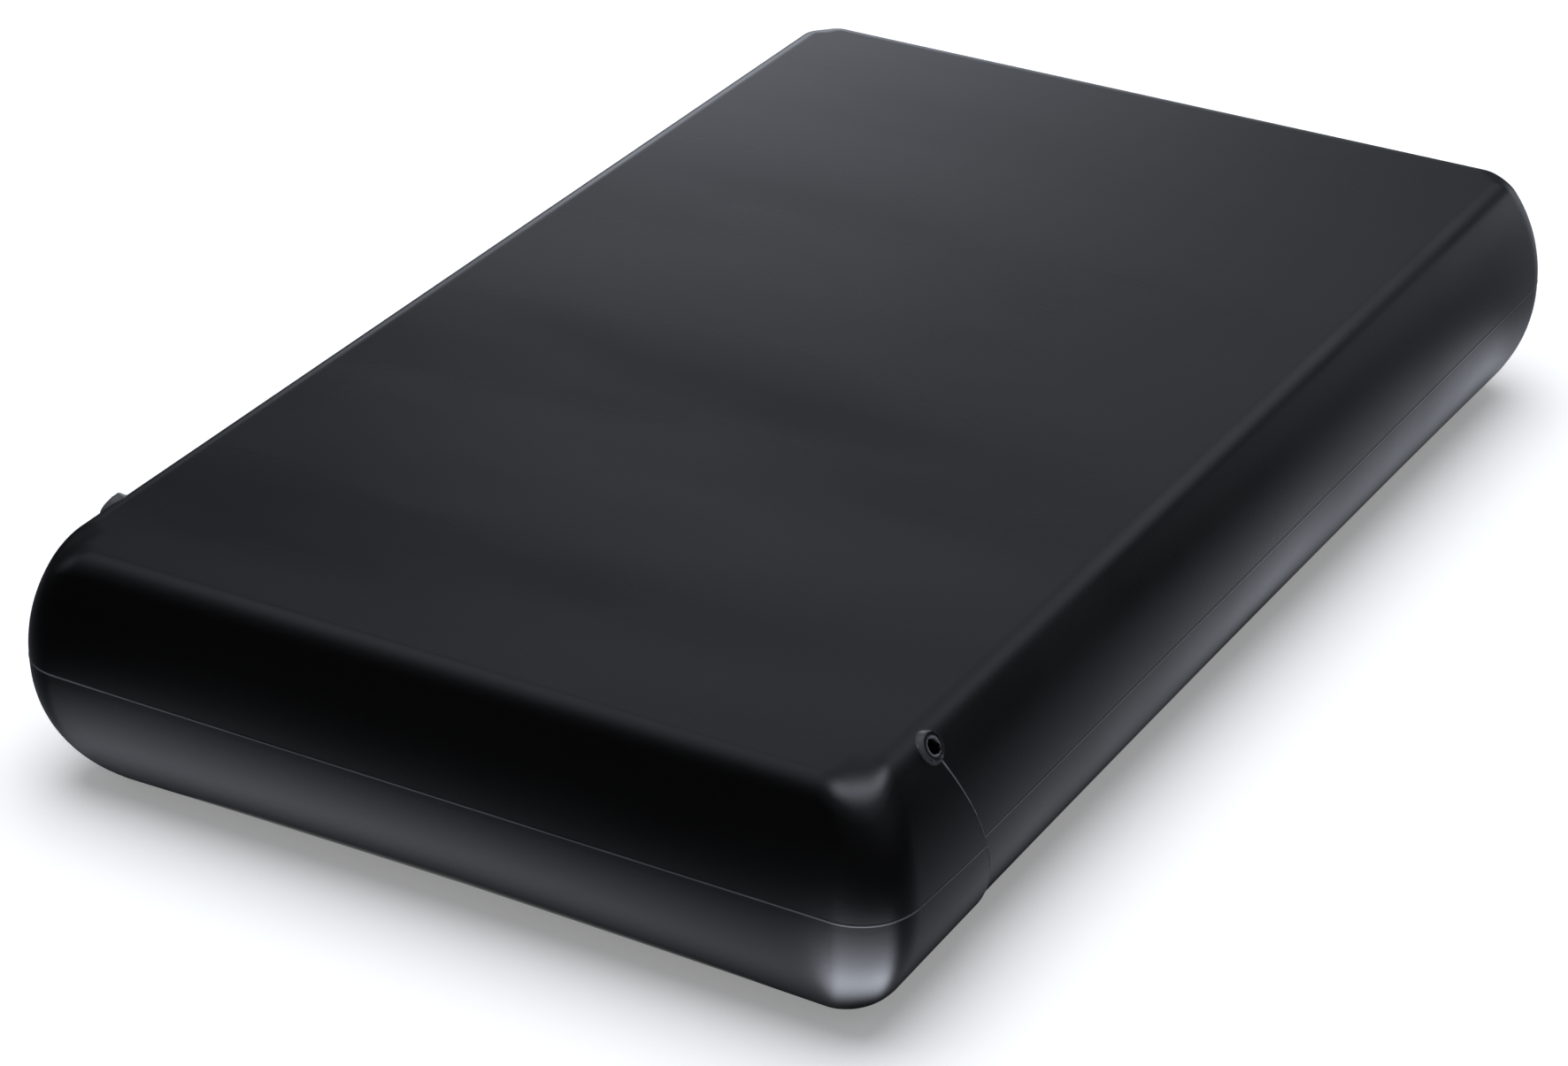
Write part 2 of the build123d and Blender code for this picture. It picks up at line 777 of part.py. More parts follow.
tub_inside = tub_plan(0)
drive_outside = drive_plan(0)
bay_half = drive_half - board_bay_wall
notch_half = plug_half + plug_notch_gap
notch_rear = drive_front + plug_depth + plug_notch_gap
with BuildPart() as drive_base:
    with BuildSketch(Plane.XY.offset(drive_under)):
        add(drive_outside)
    extrude(amount=rim_level - drive_under)
    with BuildSketch(Plane.XY.offset(tub_floor)):
        add(tub_inside)
    extrude(amount=rim_level - tub_floor, mode=Mode.SUBTRACT)
    block(
        (-bay_half, drive_front, drive_under),
        (bay_half, drive_front + drive_board_length + 2 * drive_board_gap, bay_roof),
        mode=Mode.SUBTRACT,
    )
    for place in board_screw_places:
        rod(place, board_boss_radius, drive_board_over, bay_roof)
    block(
        (plug_x - notch_half, drive_front, drive_under),
        (plug_x + notch_half, notch_rear, plug_over + plug_notch_gap),
        mode=Mode.SUBTRACT,
    )
    for place in board_screw_places:
        rod(place, small_screw_radius, drive_board_over, board_screw_end, mode=Mode.SUBTRACT)
    for place in corner_screw_places:
        rod(place, cover_screw_radius, cover_screw_end - screw_clearance, rim_level, mode=Mode.SUBTRACT)
    rod(spindle, bearing_radius, bay_roof, tub_floor, mode=Mode.SUBTRACT)
    rod(spindle, bearing_radius, drive_under, bay_roof, mode=Mode.SUBTRACT)
    rod(pivot, pivot_spigot_radius, bay_roof, tub_floor, mode=Mode.SUBTRACT)
save(drive_base, "drive_base")

gasket_outside = drive_plan(gasket_inset)
gasket_inside = tub_plan(gasket_inset)
with BuildPart() as cover_gasket:
    with BuildSketch(Plane.XY.offset(rim_level)):
        add(gasket_outside)
        add(gasket_inside, mode=Mode.SUBTRACT)
    extrude(amount=gasket_thickness)
    for place in corner_screw_places:
        rod(place, cover_screw_radius + screw_clearance, rim_level, cover_under, mode=Mode.SUBTRACT)
save(cover_gasket, "cover_gasket")

cover_outside = drive_plan(cover_inset)
with BuildPart() as drive_cover:
    with BuildSketch(Plane.XY.offset(cover_under)):
        add(cover_outside)
    extrude(amount=cover_thickness)
    for place in cover_screw_places:
        rod(place, cover_screw_radius + screw_clearance, cover_under, drive_over, mode=Mode.SUBTRACT)
        rod(place, cover_screw_head + screw_clearance, cover_screw_seat, drive_over, mode=Mode.SUBTRACT)
save(drive_cover, "drive_cover")

with BuildPart() as cover_screws:
    for place in cover_screw_places:
        screw(
            place,
            cover_screw_seat,
            1,
            cover_screw_radius,
            cover_screw_head,
            cover_screw_head_height,
            cover_screw_length,
        )
save(cover_screws, "cover_screws")

# Drive board under the base, its chips and its screws
drive_board_front = drive_front + drive_board_gap
with BuildPart() as drive_board:
    block(
        (drive_board_gap - bay_half, drive_board_front, drive_board_under),
        (bay_half - drive_board_gap, drive_board_front + drive_board_length, drive_board_over),
    )
    for place in board_screw_places:
        rod(place, small_hole_radius, drive_board_under, drive_board_over, mode=Mode.SUBTRACT)
save(drive_board, "drive_board")

driver_place = (driver_x, drive_board_length - driver_setback)
for name, place, size in (
    ("controller_chip", controller_place, (controller_size, controller_size)),
    ("memory_chip", memory_place, memory_size),
    ("motor_chip", driver_place, (driver_size, driver_size)),
):
    with BuildPart() as chip:
        with Locations((place[0], drive_front + place[1], drive_board_over + chip_height / 2)):
            Box(size[0], size[1], chip_height)
    save(chip, name)

with BuildPart() as board_screws:
    for place in board_screw_places:
        screw(
            place,
            drive_board_under,
            -1,
            small_screw_radius,
            small_screw_head,
            small_screw_head_height,
            small_screw_length,
        )
save(board_screws, "board_screws")

# Spindle motor: a fixed bearing and stator, and a hub that carries the magnet and the platters
hub_under = lower_platter_under - hub_flange_height
hub_over = upper_platter_over - clamp_seat
cup_roof = hub_over - hub_roof_height
bearing_floor = bay_roof + bearing_end
bearing_over = cup_roof - rotor_gap
magnet_over = hub_under + rotor_gap + magnet_ring_height
stator_under = (hub_under + rotor_gap + magnet_over - stator_height) / 2

with BuildPart() as spindle_bearing_sleeve:
    rod(spindle, bearing_radius, bay_roof, bearing_over)
    rod(spindle, shaft_radius + shaft_clearance, bearing_floor, bearing_over, mode=Mode.SUBTRACT)
save(spindle_bearing_sleeve, "spindle_bearing")

with BuildPart() as spindle_stator:
    rod(spindle, stator_ring, stator_under, stator_under + stator_height)
    with BuildSketch(Plane((spindle_x, spindle_y, stator_under))):
        with PolarLocations((bearing_radius + stator_reach) / 2, stator_teeth):
            Rectangle(stator_reach - bearing_radius, tooth_width)
    extrude(amount=stator_height)
    rod(spindle, bearing_radius, stator_under, stator_under + stator_height, mode=Mode.SUBTRACT)
save(spindle_stator, "spindle_stator")

with BuildPart() as spindle_hub:
    rod(spindle, platter_bore - hub_clearance, hub_under, hub_over)
    rod(spindle, hub_flange_radius, hub_under, lower_platter_under)
    rod(spindle, hub_cup_radius, hub_under, cup_roof, mode=Mode.SUBTRACT)
    rod(spindle, shaft_radius, bearing_floor + rotor_gap, cup_roof)
    rod(spindle, clamp_screw_radius, hub_over - clamp_screw_length, hub_over, mode=Mode.SUBTRACT)
save(spindle_hub, "spindle_hub")

with BuildPart() as rotor_magnet:
    rod(spindle, hub_cup_radius, hub_under + rotor_gap, magnet_over)
    rod(spindle, hub_cup_radius - magnet_ring_wall, hub_under + rotor_gap, magnet_over, mode=Mode.SUBTRACT)
save(rotor_magnet, "rotor_magnet")

for name, outer_radius, low, high in (
    ("lower_platter", platter_radius, lower_platter_under, lower_platter_over),
    ("platter_spacer", hub_flange_radius, lower_platter_over, upper_platter_under),
    ("upper_platter", platter_radius, upper_platter_under, upper_platter_over),
):
    with BuildPart() as ring:
        rod(spindle, outer_radius, low, high)
        rod(spindle, platter_bore, low, high, mode=Mode.SUBTRACT)
    save(ring, name)

clamp_over = upper_platter_over + clamp_height
with BuildPart() as platter_clamp:
    rod(spindle, hub_flange_radius, upper_platter_over, clamp_over)
    rod(spindle, clamp_screw_radius + screw_clearance, upper_platter_over, clamp_over, mode=Mode.SUBTRACT)
    chamfer(platter_clamp.faces().sort_by(Axis.Z)[-1].outer_wire().edges(), clamp_chamfer)
save(platter_clamp, "platter_clamp")

with BuildPart() as clamp_screw:
    rod(spindle, clamp_screw_head, clamp_over, clamp_over + clamp_screw_head_height)
    rod(spindle, clamp_screw_radius, hub_over - clamp_screw_length + screw_clearance, clamp_over)
save(clamp_screw, "clamp_screw")

# Actuator on its pivot, drawn along the parked arm
arm_way = (math.cos(math.radians(park_angle)), math.sin(math.radians(park_angle)), 0)
arm_under = arm_levels[0][0]
arm_over = arm_levels[2][1]
coil_under = coil_level - coil_thickness / 2
coil_over = coil_level + coil_thickness / 2


def arm_plane(level):
    return Plane(origin=(pivot_x, pivot_y, level), x_dir=arm_way, z_dir=(0, 0, 1))


# A blade along the arm that narrows from its root to its tip
def tapered_plan(root, tip, root_half, tip_half):
    with BuildSketch() as plan:
        Polygon((root, -root_half), (tip, -tip_half), (tip, tip_half), (root, root_half), align=None)
    return plan.sketch


arm_plan = tapered_plan(0, arm_reach, arm_root_half, arm_tip_half)
fork_plan = sector(
    pivot_bearing_radius, coil_outer + fork_wall, coil_angle - fork_half_angle, coil_angle + fork_half_angle
)
coil_plan = sector(coil_inner, coil_outer, coil_angle - coil_half_angle, coil_angle + coil_half_angle)
coil_mean = (coil_inner + coil_outer) / 2
eye_half_angle = coil_half_angle - math.degrees(coil_band / coil_mean)
coil_eye = sector(
    coil_inner + coil_band, coil_outer - coil_band, coil_angle - eye_half_angle, coil_angle + eye_half_angle
)
with BuildPart() as actuator_arm:
    rod(pivot, hub_radius, arm_under, arm_over)
    for low, high in arm_levels:
        with BuildSketch(arm_plane(low)):
            add(arm_plan)
        extrude(amount=high - low)
    with BuildSketch(arm_plane(coil_under)):
        add(fork_plan)
        add(coil_plan, mode=Mode.SUBTRACT)
    extrude(amount=coil_thickness)
    rod(pivot, pivot_bearing_radius, arm_under, arm_over, mode=Mode.SUBTRACT)
save(actuator_arm, "actuator_arm")

with BuildPart() as voice_coil:
    with BuildSketch(arm_plane(coil_under)):
        add(coil_plan)
        add(coil_eye, mode=Mode.SUBTRACT)
    extrude(amount=coil_thickness)
save(voice_coil, "voice_coil")

with BuildPart() as pivot_bearing:
    rod(pivot, pivot_bearing_radius, arm_under, arm_over)
    rod(pivot, pivot_post_radius + pivot_clearance, arm_under, arm_over, mode=Mode.SUBTRACT)
save(pivot_bearing, "pivot_bearing")

with BuildPart() as pivot_post:
    rod(pivot, pivot_post_radius, tub_floor, cover_under)
    rod(pivot, pivot_spigot_radius, bay_roof, tub_floor)
    rod(pivot, cover_screw_radius, cover_screw_end - screw_clearance, cover_under, mode=Mode.SUBTRACT)
save(pivot_post, "pivot_post")


# Levels between two heights above a platter's face, measured away from the platter
def off_face(face, way, near, far):
    return sorted((face + way * near, face + way * far))


suspension_levels = [
    off_face(face, way, head_clearance + slider_thickness, head_stack) for face, way in head_sides
]
slider_levels = [
    off_face(face, way, head_clearance, head_clearance + slider_thickness) for face, way in head_sides
]
suspension_root = arm_reach - suspension_lap
suspension_end = head_reach + suspension_tab
suspension_plan = tapered_plan(suspension_root, suspension_end, arm_tip_half, suspension_tip_half)
with BuildPart() as head_suspensions:
    for low, high in suspension_levels:
        with BuildSketch(arm_plane(low)):
            add(suspension_plan)
        extrude(amount=high - low)
save(head_suspensions, "head_suspensions")

with BuildPart() as head_sliders:
    for low, high in slider_levels:
        with BuildSketch(arm_plane(low)):
            with Locations((head_reach, 0)):
                Rectangle(slider_length, slider_width)
        extrude(amount=high - low)
save(head_sliders, "head_sliders")

# Fixed magnets over and under the coil, on two steel yokes with a post at each end of the swing
lower_magnet_over = coil_under - coil_gap
upper_magnet_under = coil_over + coil_gap
lower_yoke_over = lower_magnet_over - voice_magnet_thickness
upper_yoke_under = upper_magnet_under + voice_magnet_thickness
yoke_plan = sector(
    yoke_inner, yoke_outer, coil_mid_angle - yoke_half_angle, coil_mid_angle + yoke_half_angle
)
magnet_plan = sector(
    coil_inner, coil_outer, coil_mid_angle - voice_magnet_half_angle, coil_mid_angle + voice_magnet_half_angle
)
for name, plan, low, high in (
    ("lower_yoke", yoke_plan, tub_floor, lower_yoke_over),
    ("lower_magnet", magnet_plan, lower_yoke_over, lower_magnet_over),
    ("upper_magnet", magnet_plan, upper_magnet_under, upper_yoke_under),
    ("upper_yoke", yoke_plan, upper_yoke_under, cover_under - yoke_cover_gap),
):
    with BuildPart() as plate:
        with BuildSketch(Plane((pivot_x, pivot_y, low))):
            add(plan)
        extrude(amount=high - low)
    save(plate, name)

post_places = []
for way in (-1, 1):
    post_angle = math.radians(coil_mid_angle + way * yoke_post_half_angle)
    post_places.append(
        (pivot_x + yoke_post_reach * math.cos(post_angle), pivot_y + yoke_post_reach * math.sin(post_angle))
    )
with BuildPart() as yoke_posts:
    for place in post_places:
        rod(place, yoke_post_radius, lower_yoke_over, upper_yoke_under)
save(yoke_posts, "yoke_posts")

with BuildPart() as crash_stops:
    for place in post_places:
        low = coil_level - stop_ring_height / 2
        rod(place, yoke_post_radius + stop_ring_wall, low, low + stop_ring_height)
        rod(place, yoke_post_radius, low, low + stop_ring_height, mode=Mode.SUBTRACT)
save(crash_stops, "crash_stops")

# Ramp that the tips of the suspensions climb when the heads park
ramp_inner = head_reach + ramp_lead
ramp_slot_end = suspension_end + ramp_tip_gap
ramp_outer = ramp_slot_end + ramp_back
ramp_plan = sector(ramp_inner, ramp_outer, ramp_first_angle, ramp_last_angle)
slot_plan = sector(
    ramp_inner - ramp_slot_gap,
    ramp_slot_end,
    ramp_first_angle - ramp_slot_run,
    ramp_last_angle + ramp_slot_run,
)
with BuildPart() as loading_ramp:
    with BuildSketch(arm_plane(tub_floor)):
        add(ramp_plan)
    extrude(amount=cover_under - ramp_cover_gap - tub_floor)
    for low, high in suspension_levels:
        with BuildSketch(arm_plane(low - ramp_slot_gap)):
            add(slot_plan)
        extrude(amount=high - low + 2 * ramp_slot_gap, mode=Mode.SUBTRACT)
save(loading_ramp, "loading_ramp")

# Bracket that passes the head wiring through the base, its ribbon and the air filter
tub_front = drive_front + front_wall
bracket_middle = (bracket_place[0], tub_front + bracket_place[1])
with BuildPart() as ribbon_bracket:
    with Locations((bracket_middle[0], bracket_middle[1], tub_floor + bracket_height / 2)):
        Box(bracket_length, bracket_width, bracket_height)
    fillet(ribbon_bracket.edges().filter_by(Axis.Z), bracket_radius)
save(ribbon_bracket, "ribbon_bracket")

ribbon_angle = math.radians(park_angle - ribbon_turn)
ribbon_radius = hub_radius + ribbon_gap
ribbon_start = (
    pivot_x + ribbon_radius * math.cos(ribbon_angle),
    pivot_y + ribbon_radius * math.sin(ribbon_angle),
)
ribbon_end = (bracket_middle[0] - bracket_length / 2, bracket_middle[1])
ribbon_bend = (
    (ribbon_start[0] + ribbon_end[0]) / 2,
    (ribbon_start[1] + ribbon_end[1]) / 2 - ribbon_bow,
)
with BuildPart() as head_ribbon:
    with BuildSketch(Plane.XY.offset(tub_floor)):
        with BuildLine():
            ThreePointArc(ribbon_start, ribbon_bend, ribbon_end)
        trace(line_width=ribbon_thickness)
    extrude(amount=ribbon_height)
save(head_ribbon, "head_ribbon")

filter_x = drive_half - side_wall - filter_side_gap - filter_size / 2
with BuildPart() as air_filter:
    with Locations((filter_x, tub_front + filter_setback, tub_floor + filter_height / 2)):
        Box(filter_size, filter_size, filter_height)
    fillet(air_filter.edges().filter_by(Axis.Z), filter_radius)
save(air_filter, "air_filter")
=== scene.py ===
import json
import math

import bmesh
import bpy
import numpy as np
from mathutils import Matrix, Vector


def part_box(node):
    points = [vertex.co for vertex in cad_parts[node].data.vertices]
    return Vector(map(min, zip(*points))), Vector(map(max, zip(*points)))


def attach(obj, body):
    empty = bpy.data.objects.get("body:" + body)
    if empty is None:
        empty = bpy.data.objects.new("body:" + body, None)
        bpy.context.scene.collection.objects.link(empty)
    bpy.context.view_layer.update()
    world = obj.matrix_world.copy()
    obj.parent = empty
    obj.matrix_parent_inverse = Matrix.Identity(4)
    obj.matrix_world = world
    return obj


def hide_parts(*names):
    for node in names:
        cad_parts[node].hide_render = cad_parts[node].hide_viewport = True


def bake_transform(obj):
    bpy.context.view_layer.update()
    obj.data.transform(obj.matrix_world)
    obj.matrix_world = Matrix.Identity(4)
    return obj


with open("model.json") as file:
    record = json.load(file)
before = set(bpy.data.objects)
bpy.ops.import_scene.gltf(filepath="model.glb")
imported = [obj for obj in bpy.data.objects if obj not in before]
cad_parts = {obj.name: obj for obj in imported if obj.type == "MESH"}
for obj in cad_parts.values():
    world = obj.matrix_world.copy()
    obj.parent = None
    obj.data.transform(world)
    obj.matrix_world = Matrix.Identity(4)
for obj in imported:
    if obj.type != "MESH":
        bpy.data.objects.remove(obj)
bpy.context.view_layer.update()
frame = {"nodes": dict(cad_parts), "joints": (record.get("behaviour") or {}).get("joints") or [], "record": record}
mm = 0.001  # sizes below are in millimetres, the frame is in metres
print("frame loaded:", len(frame["nodes"]), "solids")


# Lowest and highest corner of the box round some solids, in mm
def nodeBox(*names):
    low = np.min([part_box(name)[0] for name in names], axis=0) / mm
    high = np.max([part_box(name)[1] for name in names], axis=0) / mm
    return low, high


# Middle of a solid's box, seen from above
def nodeCentre(name):
    low, high = nodeBox(name)
    return (low + high)[:2] / 2


sleeveHigh = nodeBox("rubber_sleeve")[1]
flapLow, flapHigh = nodeBox("end_flap")
caseLow, caseHigh = nodeBox("case_tray", "case_lid")
hinge = next(joint for joint in frame["joints"] if joint["name"] == "flap_hinge")
hingeY = hinge["pos_m"][1] / mm

# Silicone moulding: the outer sizes come from the frame, the rest shapes its bulged sides
rubber = {
    "halfWidth": sleeveHigh[0],
    "height": sleeveHigh[2],
    "farEnd": sleeveHigh[1],
    "nearEnd": flapLow[1],
    "splay": flapHigh[0] - sleeveHigh[0],  # the flap stands this far proud on each side
    "splayAtFloor": 0.5,  # and keeps this share of it at the floor
    "partingHeight": 12.6,
    "topLean": 3.4,  # the sides come in this far at the top
    "flapLean": 1.9,  # and the flap's end this far
    "bottomLean": 7.0,
    "topRound": 2.4,
    "bottomRound": 2.0,
    "cornerBall": 5.0,  # ball that rounds the upright corners
    "hip": 1.0,  # the top rounding grows by this much at the corners
    "flapHip": 2.2,  # and on the flap by this much
    "flapBall": 1.2,  # where the corner ball grows too, from the parting line up
    "cornerShare": 0.62,  # over the parting line the corner tightens by this share of the inset
    "foot": 0.9,  # near the corners the lower edge stands out this much more
    "footReach": 34.0,
    "footPower": 1.5,  # by this power of the depth under the parting line
    "footCorner": 0.35,  # and the corner is tighter there by this share
    "band": 1.0,  # flat margin kept round the top and the floor
    "flapWall": 4.6,
    "pocketPlay": 0.1,
    "pocketTopRound": 2.6,
    "pocketBottomRound": 4.1,
}
pocketRoof = caseHigh[2] + rubber["pocketPlay"]

slit = {
    "shift": -0.4,  # the cut's upper end lies this far from the hinge line, toward the flap's end
    "gap": 0.22,
    "lipHeight": 0.05,  # flash left along both edges of the cut
    "lipPlace": 0.07,
    "lipWidth": 0.07,
    "lipStart": 0.5,  # the lips rise over this length under the tear-stop
}
slit["run"] = flapHigh[1] + slit["gap"] - hingeY  # the slit's foot lies this far behind the hinge line

# Parting line's ridge, and the pale paint laid along it, the slit's lips and the collar as a painted highlight
flash = {
    "height": 0.035,  # ridge that the two mould halves leave
    "width": 0.07,
    "flapDrop": 0.5,  # on the flap the line sinks by this much toward the slit
    "dropReach": 14.0,
    "endHighlight": (0.35, 0.65, 6.0),  # painted highlight on the ends: how strong, how much more at the corners, and over what length
    "sideHighlight": (0.2, 0.4, 30.0),  # and the painted highlight on the sides, how much more at the slit
    "lipHighlight": 1.3,
    "collarHighlight": 0.45,
}

# Collared hole at the slit's upper end, which stops it from tearing on
tearStop = {
    "height": sleeveHigh[2] - 1.2,
    "hole": 0.66,
    "collar": 1.32,
    "flank": 0.26,
    "rise": 0.42,
    "ripple": 0.05,  # shallow groove between the collar's edge and the hole's rim
    "rim": 0.14,
    "depth": 3.0,  # skin farther than this from the hole's mouth has no part in it
    "rimHighlight": 0.7,  # the painted highlight ring on the rim is this share of the rim wide
    "edgeHighlight": 0.4,  # and the painted highlight on the collar's edge this share of the flank
}

# How finely the skins are divided: rows go down the section, columns round the outline
skinGrid = {
    "topBandRows": 6,
    "topRoundRows": 27,
    "stopRows": 23,
    "upperRows": 24,
    "partingRows": 36,
    "lowerRows": 24,
    "bottomRoundRows": 10,
    "floorBandRows": 2,
    "stopReach": 2.2,  # rows and columns stay close together over this length, for the tear-stop
    "overParting": 0.5,  # and rows from this far over the parting line
    "underParting": 0.9,  # to this far under it
    "stopColumns": 25,
    "stopGrade": 1.3,
    "cornerColumns": 17,
    "endColumns": 14,
    "pocketRoundColumns": 9,
    "cutRows": 9,
    "sleeveColumns": 44,  # along the sleeve's side
    "sleeveGrade": 3.4,  # they widen by this exponent away from the slit
    "flapColumns": 24,
    "flapGrade": 1.2,
}

strip = {"reach": 2.6, "steps": 26}  # living hinge: bends this far on each side of its line


# Smooth step: 3 v squared less 2 v cubed, held between 0 and 1
def smoothStep(value):
    value = np.clip(value, 0, 1)
    return value * value * (3 - 2 * value)


# Radius of an arc that starts upright and comes in by the lean over the rise
def arcRadius(lean, rise):
    return (rise**2 + lean**2) / (2 * lean)


# Side section from the top margin to the floor margin, one column for each top rounding and lean given: two arcs of
# circle meet upright at the parting height, and a rounding tangent to each leads into the flat margin. Over the parting
# line the corner tightens with the inset and grows with the square of the height. Gives inset, height, corner radius
# and lean of each station.
def sideSection(topRound, topLean, ballGrowth):
    parting = rubber["partingHeight"]
    rise = rubber["height"] - parting
    upper = arcRadius(topLean, rise)
    lower = arcRadius(rubber["bottomLean"], parting)
    same = 0 * topRound  # gives single values a column each
    bottomRound = rubber["bottomRound"] + same
    topTurn = np.arcsin((rise - topRound) / (upper - topRound))
    bottomTurn = np.arcsin((parting - bottomRound) / (lower - bottomRound))
    contactTop = parting + upper * np.sin(topTurn)
    contactBottom = parting - lower * np.sin(bottomTurn)
    stopFoot = contactTop - skinGrid["stopReach"]
    over = parting + skinGrid["overParting"] + same
    under = parting - skinGrid["underParting"] + same
    height = np.concatenate([
        np.linspace(contactTop, stopFoot, skinGrid["stopRows"]),
        np.linspace(stopFoot, over, skinGrid["upperRows"])[1:],
        np.linspace(over, under, skinGrid["partingRows"])[1:],
        np.linspace(under, contactBottom, skinGrid["lowerRows"])[1:],
    ])
    radius = np.where(height >= parting, upper, lower)
    lean = np.arcsin((height - parting) / radius)
    ball = rubber["cornerBall"]

    def upperCorner(away, level):
        return ball + ballGrowth * ((level - parting) / rise) ** 2 - rubber["cornerShare"] * away

    inset = radius * (1 - np.cos(lean))
    corner = np.where(height >= parting, upperCorner(inset, height), ball * np.cos(lean))
    middle = np.stack([inset, height, corner, lean])

    def rounding(turn, size, contact, arc, sign):
        away = arc - (arc - size) * np.cos(contact) - size * np.cos(turn)
        level = parting + sign * ((arc - size) * np.sin(contact) + size * np.sin(turn))
        lowerCorner = ball * np.cos(contact) - (away - arc * (1 - np.cos(contact)))
        return np.stack([away, level, upperCorner(away, level) if sign > 0 else lowerCorner, sign * turn])

    def margin(edge, steps):
        away = np.linspace(rubber["band"], 0, steps, endpoint=False)
        return edge[:, None] + np.array([1, 0, -1, 0])[:, None, None] * away[:, None]

    flat = math.pi / 2 + same
    topTurns = np.linspace(flat, topTurn, skinGrid["topRoundRows"])[:-1]
    bottomTurns = np.linspace(bottomTurn, flat, skinGrid["bottomRoundRows"])[1:]
    top = rounding(topTurns, topRound, topTurn, upper, 1)
    bottom = rounding(bottomTurns, bottomRound, bottomTurn, lower, -1)
    topBand = margin(top[:, 0], skinGrid["topBandRows"])
    floorBand = margin(bottom[:, -1], skinGrid["floorBandRows"])[:, ::-1]
    return np.concatenate([topBand, top, middle, bottom, floorBand], axis=1)


# The cut is a slanted plane; the flap's face of it leans away by the gap at the floor
def slitAt(level, way):
    down = (rubber["height"] - level) / rubber["height"]
    return hingeY + slit["shift"] + (slit["run"] - (slit["gap"] if way < 0 else 0)) * down


stopArc = arcRadius(rubber["topLean"], rubber["height"] - rubber["partingHeight"])
stopLean = math.asin((tearStop["height"] - rubber["partingHeight"]) / stopArc)
stopX = rubber["halfWidth"] - stopArc * (1 - math.cos(stopLean))
stopCentre = np.array([stopX, slitAt(tearStop["height"], 1), tearStop["height"]])
stopAxis = np.array([math.cos(stopLean), 0, math.sin(stopLean)])


# Height of the tear-stop's collar over its distance from the hole's axis: a flat crown with a shallow cosine groove,
# turned down in a quarter circle at the hole's rim
def collarCrown(distance):
    inward = np.clip((distance - tearStop["hole"]) / (tearStop["collar"] - tearStop["hole"]), 0, 1)
    groove = tearStop["ripple"] * (1 - np.cos(2 * math.pi * inward))
    rim = np.clip((distance - tearStop["hole"]) / tearStop["rim"], 0, 1)
    return tearStop["rise"] - groove - tearStop["rim"] * (1 - np.sqrt(1 - (1 - rim) ** 2))
